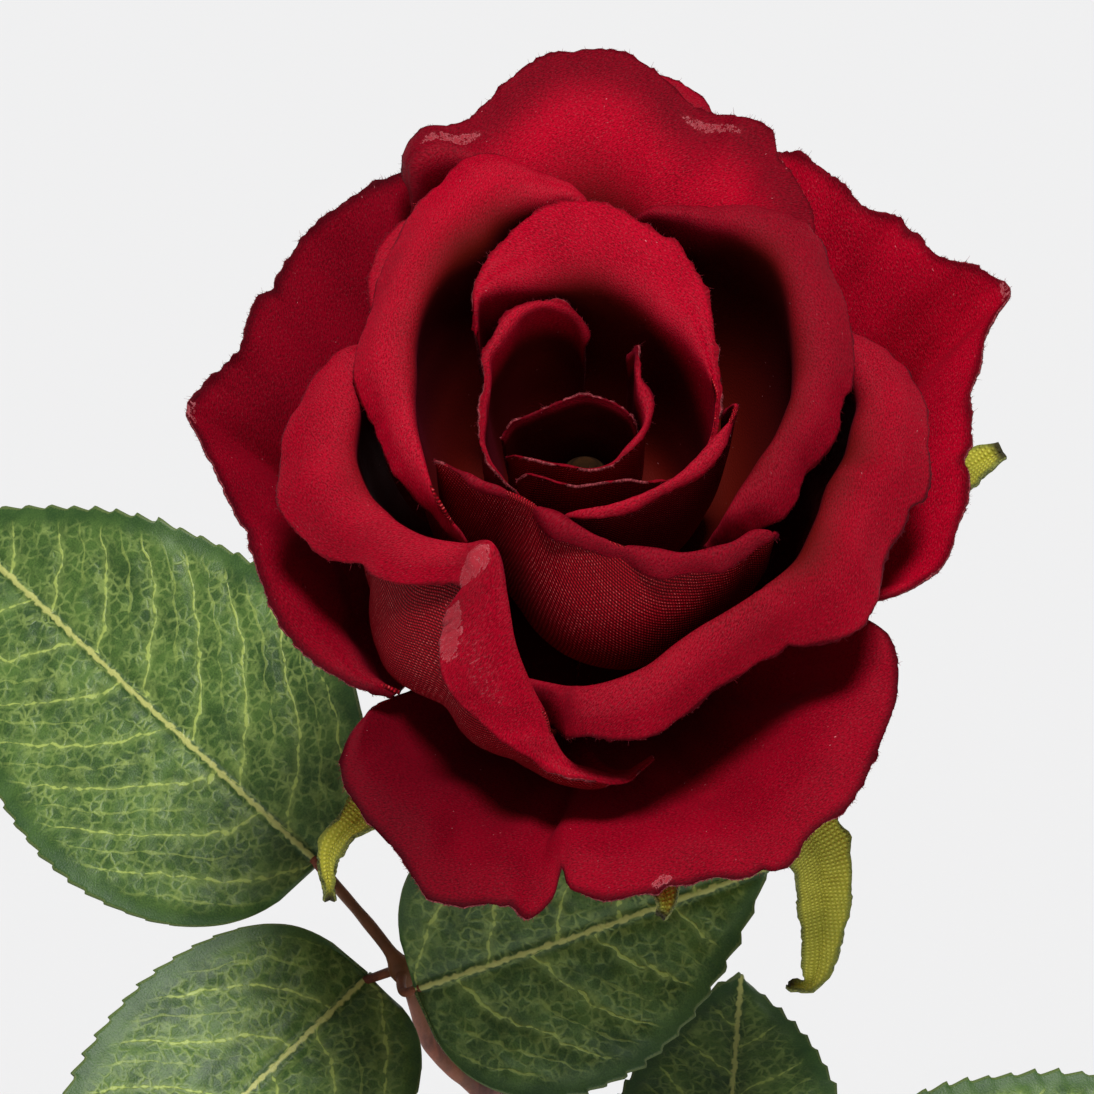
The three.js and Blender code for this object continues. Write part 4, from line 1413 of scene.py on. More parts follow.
@dataclass
class Calyx:
    """The moulded cup under the bloom, with a shallow rib for each sepal."""

    top: float = -0.4
    foot: float = -11.5
    radius: float = 6.6
    ribs: int = 5
    rib_height: float = 0.035  # as a part of the radius

    def place(self, point: np.ndarray) -> np.ndarray:
        """Ribs a point of the cup and carries it into the part's frame.

        Args:
            point: in the bloom's frame, unribbed.

        Returns:
            The point in the part's frame.
        """
        turn = math.atan2(point[1], point[0])
        swell = 1 + self.rib_height * math.cos(self.ribs * turn + 0.6) - 0.02
        return in_bloom(point * np.array((swell, swell, 1.0)))

    def build(self) -> None:
        """Spins the cup and presses its ribs."""
        low = [(3.0, 0.0), (4.4, 1.6), (6.1, 4), (self.radius, 6), (6.3, 8)]
        high = [(5.5, -0.5), (5.1, 0.0)]
        knots = [(r, 0.0, self.foot + h) for r, h in low] + [(r, 0.0, self.top + h) for r, h in high]
        curve = through(np.array(knots), 26)
        profile = [(0.0, self.foot)] + [(p[0], p[2]) for p in curve] + [(0.0, self.top)]
        piece = spun("calyx_cup", profile, 80, self.place)
        finish = MouldedPlastic("calyx_green", paint(74, 92, 36), paint(112, 130, 56), paint(120, 96, 52))
        settle(piece, [finish.material()], ["calyx"])


@dataclass(frozen=True)
class SepalCut:
    """One sepal: half its width, its spine from the calyx out in the bloom's frame, and how it slims."""

    node: str
    half_width: float
    spine: tuple[Point, ...]
    seed: int
    slim: float = 0.0


@dataclass
class Sepals:
    """Five strips of coarse olive cloth that spread under the bloom."""

    cuts: tuple[SepalCut, ...]
    hollow: float = 0.28
    crease: float = 0.3
    thickness: float = 0.5
    columns: int = 110
    rows: int = 21

    def sheet(self, cut: SepalCut) -> Sheet:
        """Lays one sepal along its spine, hollow, creased in the middle and nicked at its sides.

        Args:
            cut: the sepal.

        Returns:
            The sepal's sheet.
        """
        middle = through(np.array(cut.spine), self.columns)
        tangent = np.gradient(middle, axis=0)
        tangent /= np.linalg.norm(tangent, axis=1, keepdims=True)
        side = np.cross((0.0, 0.0, 1.0), tangent)
        side /= np.linalg.norm(side, axis=1, keepdims=True)
        up = np.cross(tangent, side)
        along = np.linspace(0, 1, self.columns)
        length = run_length(middle[:, None], 0)[:, 0]
        width = cut.half_width * np.maximum(0.07, 1.15 * np.sin(math.pi * (0.12 + 0.86 * along)) ** 0.8)
        width = width * (1 - cut.slim * ramp(along, 0.4, 0.78))
        nick = 0.32 * ripple(length, 0, 3.2, cut.seed) + 0.12 * ripple(length, 0, 0.9, cut.seed + 1)
        share = np.linspace(1, -1, self.rows)[None, :]
        wide = width[:, None] * share + np.sign(share) * (nick[:, None] * np.abs(share) ** 6)
        cup = self.hollow * width[:, None] * (np.abs(share) ** 1.4)
        curl = ripple(length[:, None], 2 * share, 6.0, cut.seed + 2)
        cup = cup + 0.22 * share**2 * curl * ramp(along, 0.1, 0.4)[:, None]
        cup = cup - self.crease * np.exp(-(wide / 0.5) ** 2)
        cup = cup + 0.1 * ripple(length[:, None], wide, 2.2, cut.seed + 3)
        surface = middle[:, None] + side[:, None] * wide[..., None] + up[:, None] * cup[..., None]
        cloth = np.stack((wide, length[:, None] * np.ones_like(share)), -1)
        edge = np.minimum(width[:, None] * (1 - np.abs(share)), (length[-1] - length)[:, None])
        tip = (length[-1] - length)[:, None] * np.ones_like(share)
        return Sheet(in_bloom(surface), cloth, {"edge": edge, "tip": tip})

    def build(self) -> None:
        """Builds and dresses the sepals."""
        weave = SepalWeave().material()
        edge = CutEdge("sepal_cut_edge", paint(86, 94, 44), paint(150, 152, 72)).material()
        for cut in self.cuts:
            piece = self.sheet(cut).to_object(f"{cut.node}_cloth")
            thicken(piece, self.thickness)
            settle(piece, [weave, weave, edge], [cut.node])


# ---------- leaves ----------


@dataclass(frozen=True)
class Leaflet:
    """A leaflet: its foot, the way its midrib points, the way its face looks, and its shape."""

    node: str
    at: Point
    along: Point
    facing: Point
    length: float
    half_width: float
    fold: float
    arch: float
    wave: float
    seed: int
    teeth: int = 20
    tooth: float = 0.7
    tooth_back: float = 0.78  # the long side's share of a tooth
    tooth_front: float = 0.22  # and the short side's
    vein_step: float = 9.0
    vein_stagger: float = 0.42  # how far the right side's veins are shifted, in steps
    vein_slant: float = 0.78  # what a step along the midrib is, square to a vein
    quilting: float = 0.34

    def frame(self) -> tuple[np.ndarray, np.ndarray, np.ndarray]:
        """Finds the leaflet's own axes.

        Returns:
            Unit vectors to its side, along its midrib and up from its face.
        """
        along = np.array(self.along) / np.linalg.norm(self.along)
        side = np.cross(along, self.facing)
        side /= np.linalg.norm(side)
        return side, along, np.cross(side, along)

    def placed(self, x: np.ndarray, y: np.ndarray, z: np.ndarray) -> np.ndarray:
        """Carries points on the leaflet into the part's frame."""
        side, along, up = self.frame()
        return np.array(self.at) + x[..., None] * side + y[..., None] * along + z[..., None] * up

    def height(self, share: np.ndarray, along: np.ndarray, width: np.ndarray) -> np.ndarray:
        """Folds, arches and waves the blade.

        Args:
            share: how far out each point is, -1 to 1.
            along: how far up the midrib it is, 0 to 1.
            width: half the blade's width there.

        Returns:
            How far it stands above the blade's flat plane, before any veins.
        """
        margin = np.sqrt(share**2 + 0.004) - 0.063
        return (
            self.fold * margin * width - self.arch * self.length * along**2
            + self.wave * share**2 * np.sin(along * 9 + share)
        )

    def saw(self, share: np.ndarray, along: np.ndarray) -> np.ndarray:
        """Cuts the teeth, each a little unlike the others.

        Args:
            share: how far out each point is, -1 to 1.
            along: how far up the midrib it is, 0 to 1.

        Returns:
            How far the margin stands out there.
        """
        turn = along * self.teeth + 0.12 * np.sign(share)
        part = turn - np.floor(turn)
        point = 1 - (part - self.tooth_back) / self.tooth_front
        saw = np.where(part < self.tooth_back, (part / self.tooth_back) ** 1.3, point)
        saw = saw * self.tooth * ramp(along, 0.02, 0.12) * (1 - 0.5 * ramp(along, 0.85, 1.0))
        return saw * (1 + 0.45 * ripple(np.floor(turn), np.sign(share), 3.1, self.seed + 5))

    def phase(self, x: np.ndarray, y: np.ndarray) -> np.ndarray:
        """Counts the side veins, which bend forwards as they go out.

        Args:
            x: how far each point is from the midrib.
            y: how far up the midrib it is.

        Returns:
            The number of the nearest vein, and how far on towards the next one, in steps.
        """
        slope = 0.45 * np.abs(x) + 0.034 * x**2
        phase = (y - slope) / self.vein_step + np.where(x > 0, self.vein_stagger, 0.0)
        return phase + 0.08 * ripple(x, y, 12, self.seed) + 0.05 * ripple(x, y, 3.4, self.seed + 4)

    def relief(
        self, x: np.ndarray, y: np.ndarray, share: np.ndarray, along: np.ndarray, margin: np.ndarray,
        phase: np.ndarray,
    ) -> np.ndarray:
        """Raises the midrib and the side veins, and quilts the cloth between them.

        Args:
            x: how far each point is from the midrib.
            y: how far up the midrib it is.
            share: the first as a part of the blade's half width, -1 to 1.
            along: the second as a part of its length, 0 to 1.
            margin: how far it is inside the edge.
            phase: which vein it is near.

        Returns:
            How far it stands above the plain blade.
        """
        off = np.abs(phase - np.rint(phase)) * self.vein_step * self.vein_slant
        inner = ramp(margin, 0.8, 3.5) * ramp(np.abs(x), 0.5, 2.5)
        puff = np.clip(off / (0.39 * self.vein_step), 0, 1)
        lift = self.quilting * inner * np.sin(puff * math.pi / 2) ** 0.8
        lift += 0.1 * np.exp(-((off / 0.3) ** 2)) * inner
        midrib = (0.3 - 0.16 * along) * np.exp(-((x / 0.34) ** 2))
        lift += midrib - 0.12 * np.exp(-(((np.abs(x) - 0.9) / 0.45) ** 2))
        lift += 0.09 * inner * ripple(x, y, 2.4, self.seed + 1)
        return lift + 0.5 * ramp(np.abs(share), 0.3, 1) * ripple(x, y, 24, self.seed + 2)

    def sheet(self) -> Sheet:
        """Lays the blade out, toothed, veined and quilted between its veins.

        Returns:
            The leaflet's sheet.
        """
        columns = 2 * int(self.half_width / 0.5) + 1
        rows = int(self.length / 0.45)
        share = np.linspace(-1, 1, columns)[:, None] * np.ones((1, rows))
        along = np.linspace(0, 1, rows)[None, :] * np.ones((columns, 1))
        width = self.half_width * np.maximum(0.02, 1.71 * along**0.34 * (1 - along**1.8))
        saw = self.saw(share, along)
        reach = np.abs(share) ** 10
        x = share * width + np.sign(share) * saw * reach
        y = self.length * along + 1.15 * saw * reach * (along < 0.995)
        margin = np.minimum((1 - np.abs(share)) * width, (1 - along) * self.length * 0.7)
        phase = self.phase(x, y)
        relief = self.relief(x, y, share, along, margin, phase)
        surface = self.placed(x, y, self.height(share, along, width) + relief)
        return Sheet(surface, np.stack((x, y), -1), {"margin": margin, "phase": phase, "across": x})

    def rib_path(self) -> np.ndarray:
        """Runs the moulded rib under the blade.

        Returns:
            Points from its foot to near the blade's tip.
        """
        along = np.linspace(-0.012, 0.93, 60)
        zero = np.zeros_like(along)
        return self.placed(zero, self.length * along, self.height(zero, along, zero) - 0.4)


@dataclass(frozen=True)
class Leaf:
    """A compound leaf: the route of its main stalk, of its side stalks, and its leaflets."""

    name: str
    rachis: tuple[Point, ...]
    stalks: tuple[tuple[Point, ...], ...]
    leaflets: tuple[Leaflet, ...]


@dataclass
class Leaves:
    """Both leaves, printed cloth on moulded stalks."""

    leaves: tuple[Leaf, ...]
    thickness: float = 0.4
    foot_radius: float = 1.9
    tip_radius: float = 0.62
    stalk_radius: float = 0.62

    def build(self) -> None:
        """Builds every stalk and blade."""
        edge = CutEdge("leaf_cut_edge", paint(62, 84, 40), paint(122, 138, 78)).material()
        faces = [LeafPrint().material(), LeafBack().material(), edge]
        red = MouldedPlastic("stalk_red", paint(88, 38, 24), paint(150, 78, 52), paint(122, 78, 42), 0.6)
        stalk = red.material()
        green = MouldedPlastic("rib_green", paint(96, 112, 58), paint(140, 150, 86), paint(120, 100, 60))
        rib = green.material()
        for leaf in self.leaves:
            self.build_stalk(leaf, stalk)
            for leaflet in leaf.leaflets:
                piece = leaflet.sheet().to_object(f"{leaflet.node}_blade")
                thicken(piece, self.thickness)
                settle(piece, faces, [leaflet.node])
            bm = bmesh.new()
            for leaflet in leaf.leaflets:
                path = leaflet.rib_path()
                add_tube(bm, path, np.linspace(0.5, 0.14, len(path)), 10)
            settle(object_of(bm, f"ribs_under_{leaf.name}_leaf"), [rib])

    def build_stalk(self, leaf: Leaf, material: bpy.types.Material) -> None:
        """Builds a leaf's main stalk with its side stalks, swollen where they part.

        Args:
            leaf: the leaf.
            material: the stalk's material.
        """
        bm = bmesh.new()
        ends = [np.array(x.at) + 0.6 * np.array(x.along) / np.linalg.norm(x.along) for x in leaf.leaflets]
        main = through(np.array([*leaf.rachis[:-1], ends[0]]), 90)
        sizes = (self.foot_radius + 0.4, self.foot_radius, 1.1, 0.8, self.tip_radius)
        radii = np.interp(np.linspace(0, 1, 90), (0, 0.06, 0.45, 0.75, 1), sizes)
        for stalk in leaf.stalks:
            away = np.linalg.norm(main - np.array(stalk[0]), axis=1)
            radii = np.maximum(radii, radii + 0.45 * np.exp(-((away / 1.5) ** 2)))
        radii = radii + 0.05 * ripple(np.linspace(0, 60, 90), 0, 5, 31)
        add_tube(bm, main, radii, 20)
        for stalk, end in zip(leaf.stalks, ends[1:]):
            path = through(np.array([*stalk[:-1], end]), 24)
            sizes = (1.0, self.stalk_radius, 0.55)
            add_tube(bm, path, np.interp(np.linspace(0, 1, 24), (0, 0.3, 1), sizes), 14)
        settle(object_of(bm, f"stalk_of_{leaf.name}_leaf"), [material], [f"rachis_{leaf.name}"])


# ---------- stem ----------


@dataclass
class Stem:
    """The stem, from the vase's floor to the calyx, with its prickles and leaf joints."""

    route: tuple[Point, ...]
    prickles: tuple[tuple[float, float], ...]
    radius: float = 2.4
    joints: tuple[float, ...] = (217.0, 241.0)
    joint_swell: float = 0.85
    top_swell: float = 0.9
    prickle_height: float = 2.6
    prickle_radius: float = 1.25
    prickle_hook: float = 1.3

    def build(self) -> None:
        """Builds the stem and its prickles as one moulding."""
        steps = 260
        path = through(np.array(self.route), steps)
        radii = self.radius * (1 + 0.03 * ripple(np.linspace(0, 360, steps), 0, 22, 5))
        for z in self.joints:
            radii = radii + self.joint_swell * np.exp(-(((path[:, 2] - z) / 3.2) ** 2))
        radii = radii + self.top_swell * ramp(np.arange(steps), steps - 7, steps - 1)
        bm = bmesh.new()
        add_tube(bm, path, radii, 32)
        for along, azimuth in self.prickles:
            self.add_prickle(bm, path[int(along * (steps - 1))], math.radians(azimuth))
        bark = MouldedPlastic("stem_bark", paint(70, 48, 28), paint(112, 84, 44), paint(84, 96, 42))
        settle(object_of(bm, "stem_moulding"), [bark.material()], ["stem"])

    def add_prickle(self, bm: bmesh.types.BMesh, root: np.ndarray, azimuth: float) -> None:
        """Adds one prickle, hooked a little downwards.

        Args:
            bm: the stem's bmesh.
            root: where it stands, on the stem's middle.
            azimuth: which way it points, in radians from the front.
        """
        outward = np.array((math.sin(azimuth), -math.cos(azimuth), 0.0))
        down = np.array((0.0, 0.0, -1.0))
        t = np.linspace(0, 1, 12)
        reach = self.radius - 0.5 + (self.prickle_height + 0.4) * t
        path = root + reach[:, None] * outward + (self.prickle_hook * t**2)[:, None] * down
        add_tube(bm, path, self.prickle_radius * (1 - t) ** 1.25 + 0.05, 12)


# ---------- vase ----------


@dataclass
class Vase:
    """The glazed bud vase, thrown, with a bare foot ring; points are radius and height."""

    height: float = 186.0
    floor: float = 5.0
    wall: float = 4.0
    bare_below: float = 0.9
    underside: tuple[tuple[float, float], ...] = (
        (0.0, 1.3), (17.5, 1.3), (19.0, 0.9), (19.8, 0.15), (20.6, 0.0), (24.4, 0.0), (25.3, 0.35),
    )
    outside: tuple[tuple[float, float], ...] = (
        (26.2, 1.4), (30, 18), (31, 38), (27.6, 66), (19.8, 98), (13.6, 128), (12, 152), (15, 170),
        (17.4, 184.4),
    )
    rim_middle: float = 15.4
    rim_half_width: float = 2.0
    rim_rise: float = 1.6

    def profile(self) -> list[tuple[float, float]]:
        """Draws the whole wall.

        Returns:
            Radius and height round it, from the foot's middle to the floor's.
        """
        outer = through(np.array([(r, 0.0, z) for r, z in self.outside]), 90)
        rim_foot = self.height - self.rim_rise
        rim = []
        for k in range(1, 12):
            turn = math.pi * k / 12
            radius = self.rim_middle + self.rim_half_width * math.cos(turn)
            rim.append((radius, rim_foot + self.rim_rise * math.sin(turn)))
        inner = [(p[0] - self.wall, p[2]) for p in outer[::-1] if p[2] > 2 * self.floor]
        inner[0] = (self.rim_middle - self.rim_half_width, rim_foot)
        well = [(21.0, self.floor + 1.2), (18.0, self.floor), (0.0, self.floor)]
        return [*self.underside, *((p[0], p[2]) for p in outer), *rim, *inner, *well]

    def build(self) -> None:
        """Spins the vase, glazed but for the ring that it stands on."""
        piece = spun("vase_glazed", self.profile(), 144)
        settle(piece, [Glaze().material(), BareClay().material()], ["vase"])
        for face in piece.data.polygons:
            face.material_index = 1 if face.center.z < self.bare_below * MM else 0


# ---------- studio ----------


@dataclass
class Studio:
    """The pale floor, the soft lights and the camera, in metres and degrees."""

    eye: Point = (0.0038, -0.5942, 0.8172)
    tilt: float = 50.0
    lens: float = 207.3
    film: float = 36.0
    sun: float = 2.8
    sun_height: float = 78.0
    sun_side: float = 14.0
    sun_width: float = 14.0
    sky: float = 0.18
    floor_size: float = 6.0

    def build(self) -> None:
        """Sets the stage round the part."""
        bm = bmesh.new()
        bmesh.ops.create_grid(bm, x_segments=1, y_segments=1, size=self.floor_size)
        mesh = bpy.data.meshes.new("floor")
        bm.to_mesh(mesh)
        bm.free()
        floor = linked("floor", mesh)
        floor.data.materials.append(Paper().material())
        self.add_sun()
        self.add_sky()
        self.add_camera()

    def add_sun(self) -> None:
        """Adds the one broad light, high above the front."""
        data = bpy.data.lights.new("softbox", "SUN")
        data.energy, data.angle = self.sun, math.radians(self.sun_width)
        light = linked("softbox", data)
        light.location = (-0.6, -1.0, 1.8)
        light.rotation_euler = (math.radians(90 - self.sun_height), 0.0, math.radians(self.sun_side))

    def add_sky(self) -> None:
        """Surrounds the part with even white light."""
        world = bpy.data.worlds.new("studio")
        world.use_nodes = True
        background = world.node_tree.nodes["Background"]
        background.inputs["Color"].default_value = (1.0, 1.0, 1.0, 1.0)
        background.inputs["Strength"].default_value = self.sky
        bpy.context.scene.world = world

    def add_camera(self) -> None:
        """Stands the camera where the picture was taken from."""
        data = bpy.data.cameras.new("camera")
        data.lens, data.sensor_width = self.lens, self.film
        data.clip_start, data.clip_end = 0.01, 50.0
        camera = linked("camera", data)
        camera.location = self.eye
        camera.rotation_euler = (math.radians(self.tilt), 0.0, 0.0)
        bpy.context.scene.camera = camera
        bpy.context.scene.view_settings.view_transform = "Standard"


# ---------- this rose's own cut-outs ----------


PETALS: tuple[PetalCut, ...] = (
    PetalCut("outer_petal_front", centre=12, spread=0.55, cup=48, fullness=0.8, shade_inset=24.0, rim=1.2,
        dye_and_shade=0.55, first_ribs_shade=0.55, grain=8.0, stations=(
        (-45, 28.6, 8.8, 2, 0), (-45.5, 35.5, 11.6, 3, 0), (-41, 41, 12, 5, -1.3),
        (-34, 43.8, 12, 7, -1.8), (-26, 46, 11.5, 10, -2.6), (-20, 49.5, 11, 10, -2.6),
        (-12, 48.3, 11, 10, -2.6), (-7, 48.6, 10, 10, -2.6), (-3, 45, 10.2, 10, -2.6),
        (3, 46.2, 10.6, 10, -2.6), (10, 46.4, 11, 10, -2.6), (16, 45.9, 11.5, 10, -2.6),
        (22, 47.7, 12, 10, -2.6), (27, 48.4, 12.5, 10, -2.6), (32, 46.6, 13, 10, -2.6),
        (40, 45.9, 13.8, 10, -2.6), (48, 43.3, 13.8, 10, -2.6), (56, 41.4, 13.6, 7, -1.8),
        (64, 38.6, 13.5, 5, -1.3), (69, 35.6, 12.7, 3, 0), (70.5, 30.5, 9.8, 2, 0),
    ), crushes=(Crush(10.1, 0.8, 1.6, 0.8, 0.7),),
    nicks=(Nick(7.9, 3.2, 0.16), Nick(6.4, 0.7, 0.2), Nick(10.2, 0.8, 0.25), Nick(12.4, 0.7, 0.2))),
    PetalCut("outer_petal_right", centre=112, spread=0.7, cup=78, fullness=0.65, shade_inset=22.0, rim=1.5,
        dye_and_shade=0.92, grain=-25.0, stations=(
        (159, 40.5, 23.5, 1, -1), (155, 44.6, 28, 3, -3), (149, 46.5, 30, 6, -6), (141, 46.2, 30, 8, -8),
        (135, 46, 29.5, 10, -10), (131, 48.2, 28.5, 10, -10), (125, 49, 26.8, 10, -10),
        (121, 52.3, 25.6, 10, -10), (117.5, 54, 24.5, 10, -10), (113, 49.4, 24.2, 10, -10),
        (106, 45.8, 24, 10, -10), (98, 43.8, 23.2, 10, -10), (90, 42.7, 22.2, 10, -10),
        (82, 42, 21.2, 8, -8), (76, 40, 19.8, 6, -6), (71.5, 37, 18.6, 3, -1.6), (68, 33, 17, 1, -1),
    ), crushes=(Crush(8, 0.5, 1.8, 0.9, 0.5),),
    nicks=(Nick(5.2, 0.7, 0.2), Nick(11.4, 0.7, 0.2))),
    PetalCut("outer_petal_left", centre=-98, spread=0.7, cup=76, fullness=0.65, shade_inset=20.0, rim=1.5,
        dye_and_shade=0.46, grain=30.0, stations=(
        (-156.5, 38.8, 24.6, 1, -1), (-153, 41.8, 30, 3, -3), (-147, 41.2, 32.4, 6, -6),
        (-139, 41.8, 32, 8, -8), (-131, 42.4, 30.3, 10, -10), (-124, 41.6, 29, 10, -10),
        (-119, 42.4, 28, 10, -10), (-112, 41.9, 26, 10, -10), (-106, 44.3, 23.7, 10, -10),
        (-102.5, 46, 22.2, 10, -10), (-98, 43, 21, 10, -10), (-90, 39.8, 19.8, 10, -10),
        (-80, 37.8, 18.6, 9, -6.5), (-70, 37.2, 18, 8, -5.2), (-63, 37, 17.3, 6.5, -3.8),
        (-56, 35.7, 16.6, 5, -2.4), (-51, 34.4, 16, 3.4, -1.2), (-46.5, 33, 15.5, 2.2, -0.4),
        (-43, 31.2, 14, 1.4, 0),
    ), crushes=(Crush(9, 0.5, 2.2, 1, 0.5),),
    nicks=(Nick(5.3, 0.7, 0.2), Nick(11.6, 0.6, 0.2))),
    PetalCut("outer_petal_back", centre=180, spread=0.9, cup=80, fullness=0.55, shade_inset=22.0, dye_and_shade=0.6,
        stations=(
        (207, 35.5, 27, 1, -1), (203, 39, 31.6, 1, -1), (196, 41.8, 34.2, 2, -1), (188, 45, 35.5, 3, 0),
        (180, 46.6, 36, 4, 0), (172, 47.4, 36, 4, 0), (165, 47, 35.3, 4, 0), (160, 43.8, 34.3, 3, 0),
        (156, 40.5, 31.6, 1, -1), (153, 36, 27, 1, -1),
    )),
    PetalCut("middle_petal_left", centre=-55, spread=0.7, cup=100, fullness=0.5, belly=10.2,
        belly_place=0.59, shade_inset=13.0, dye_and_shade=0.8, grain=6.0, stations=(
        (-118, 26.5, 30, 1, 0), (-111, 28.7, 34, 3, 0.5), (-104, 30.8, 33, 5, 1.5),
        (-97, 31.8, 32, 6.5, 3), (-90, 33, 31, 7.5, 4), (-84, 33.8, 29.2, 8, 5), (-78, 34.2, 28, 8.5, 6),
        (-71, 32.5, 26.4, 7.5, 6.5), (-65, 30, 26.6, 6, 6), (-60, 28.6, 28.6, 5, 4.5),
        (-53, 28.2, 29.8, 5.5, 4), (-46, 26.8, 31.3, 5, 3.5), (-39, 25, 32.9, 4.5, 2.5),
        (-33, 24.6, 34, 4.2, 4, 4), (-35, 26.6, 30.5, 3.4, 2.8, 13), (-33.5, 28.8, 26.3, 3, 2.2, 16),
        (-29, 30.6, 22.8, 2.6, 1.6, 16.5), (-22, 31.6, 20.3, 2, 1, 13.5), (-12, 32.8, 17.8, 1.8, 0.5, 6),
        (-2, 34, 15.4, 2, -1.2, 2), (7, 34, 14, 2.2, -1.8, 0), (14, 30.8, 13.4, 1, -1, 0),
    ), crushes=(Crush(13, 3, 1.3, 3.2), Crush(14.5, 1.2, 4, 1.6), Crush(15.6, 4.6, 8, 2.6, 0.4))),
    PetalCut("middle_petal_right", centre=55, spread=0.75, cup=100, fullness=0.5, shade_inset=11.0, rim=0.8,
        dye_and_shade=0.72, grain=12.0, stations=(
        (124, 28.5, 29, 1, -1), (119, 31.5, 31.5, 2, 0), (111, 34.6, 32, 4, 1.5), (104, 36.7, 31.2, 6, 3),
        (97, 38.3, 30.4, 7.5, 4), (90, 37.8, 29.8, 8, 5), (83, 38.3, 28.5, 9, 6), (76, 36.4, 27.2, 8.5, 6),
        (69, 35.3, 26.2, 7.5, 6.5), (63, 35.9, 25, 8, 7.5), (56, 35.6, 23.9, 7.5, 8),
        (49, 32.3, 23.2, 4.8, 8), (42, 30.9, 23, 4, 7.5), (35, 30.5, 23, 4, 7), (28, 30.3, 23, 4, 6.5),
        (21, 31.7, 22.3, 5, 6.5), (14, 32.8, 22, 5, 6), (6, 33, 22, 4.5, 5), (0, 32.5, 22.2, 4, 3.6),
        (-4, 29.6, 17.4, 2.3, 6.3), (-9.5, 27.4, 16, 1.7, 5.3), (-16.5, 24.8, 13.6, 1.1, 3.8),
    ),
    nicks=(Nick(6.6, 0.8, 0.2), Nick(11.5, 0.8, 0.22))),
    PetalCut("middle_petal_back", centre=173, spread=0.8, cup=86, fullness=0.46, shade_inset=17.0, rim=9.0,
        grain=20.0, stations=(
        (128, 30.5, 33, 1, -1), (131, 34, 37, 4, -2), (136, 36.2, 39, 7, -4), (142, 37.8, 40, 9, -5),
        (149, 40.5, 41, 12, -6.5), (154, 41, 41.6, 13, -7), (159, 39.2, 42.2, 12, -7),
        (165, 40.5, 43, 13.5, -7), (171, 43.5, 43, 15.5, -7), (178, 45, 43, 16.5, -7),
        (184, 44.5, 43, 16, -7), (190, 42.7, 42.6, 14.5, -7), (196, 40, 42, 8, -3.5),
        (201, 38.4, 41.5, 6, -1.5), (207, 40, 40.3, 5, 0.5), (211, 39, 39, 3.5, 1), (215, 34, 35, 1, -1),
    ), crushes=(Crush(13.5, 2.4, 5, 1, 0.62), Crush(5.8, 1.9, 5, 0.9, 0.62)),
    nicks=(Nick(3.5, 0.8, 0.2), Nick(13.5, 0.8, 0.2))),
    PetalCut("middle_petal_left_back", centre=-139, spread=0.9, cup=90, fullness=0.55, shade_inset=12.0,
        dye_and_shade=0.8, stations=(
        (-163, 27.5, 31, 1, -1), (-157, 29.6, 36, 1, -1), (-149, 31.4, 38, 1.5, -0.5),
        (-142, 32.6, 37.5, 2, 0), (-134, 32.1, 36.5, 2, 0), (-128, 30.6, 35.2, 2, 0),
        (-124, 28.8, 33.8, 1.5, -0.5), (-121, 25.8, 29.5, 1, -1),
    )),
    PetalCut("inner_petal_back", centre=177, spread=0.95, cup=90, fullness=0.6, stations=(
        (157, 24.4, 23, 1, -1), (161, 25.4, 26.3, 1, -1), (166, 26, 28, 1.2, 0), (173, 26.4, 28.6, 1.2, 0),
        (181, 26.3, 28.4, 1.2, 0), (188, 26, 27.6, 1.2, 0), (192, 25.5, 26, 1, -1), (196, 24.4, 23, 1, -1),
    )),
    PetalCut("inner_petal_left", centre=-118, spread=0.85, cup=95, fullness=0.5, shade_inset=9.0, dye_and_shade=0.93,
        grain=24.0, stations=(
        (-184, 23.5, 38, 0.5, -1), (-177, 26.4, 42, 2, 0.5), (-170, 29.5, 42.2, 5, 1),
        (-164, 32, 42, 7.5, 1), (-157, 33, 41.6, 9, 1), (-150, 32.2, 40.8, 9.5, 1.5),
        (-143, 32, 39.5, 9.5, 2.5), (-136, 30.4, 38.3, 8, 3.5), (-128, 29, 37.4, 7, 4),
        (-119, 27.4, 36.8, 6, 4), (-110, 26.6, 36.3, 6, 4), (-102, 25.8, 36, 6, 4),
        (-93, 24.4, 35.3, 5, 4), (-84, 23.1, 34.6, 4, 4), (-75, 21.9, 33.8, 3, 4),
        (-67, 20.6, 32.8, 1.7, 4), (-60, 19.7, 31.8, 0.8, 3.5), (-54, 18.9, 30.5, 0.4, 2.5),
        (-49, 17.5, 28, 0.3, 0),
    )),
    PetalCut("inner_petal_front", centre=-2, spread=0.85, cup=94, fullness=0.48, belly=7, shade_inset=15.0,
        dye_and_shade=0.48, grain=48.0, stations=(
        (-73, 17.2, 35.5, 0.3, -1), (-67, 17.1, 38, 0.3, -1), (-59, 16.2, 38, 0.4, -0.5),
        (-51, 15.5, 37.2, 0.6, 0.5), (-42, 14.6, 37, 0.7, 1), (-31, 14.2, 36.7, 0.8, 1.5),
        (-19, 15, 36.1, 1, 2), (-7, 16.1, 35.9, 1.2, 2), (4, 17.4, 35.4, 1.4, 2), (14, 19.1, 35, 1.4, 2.2),
        (22, 20.8, 34.4, 1.5, 2.6), (31, 22.2, 34, 1.4, 2.6), (38, 23.4, 34, 1.3, 2.4),
        (45, 24, 34, 1, 2.2), (51, 24.2, 33.7, 0.9, 2), (56, 24.9, 33.2, 0.8, 1), (61, 24, 30.5, 0.4, 0),
    )),
    PetalCut("inner_petal_right", centre=110, spread=0.85, cup=92, fullness=0.5, shade_inset=8.0, dye_and_shade=0.55,
        stations=(
        (171, 24.6, 36, 0.5, -1), (165, 26.2, 39.6, 1, 0), (157, 27.6, 40.2, 2, 0.5),
        (150, 29, 40.3, 3, 1), (143, 31.5, 40, 4.5, 2), (136, 33.3, 39.5, 6, 2.5),
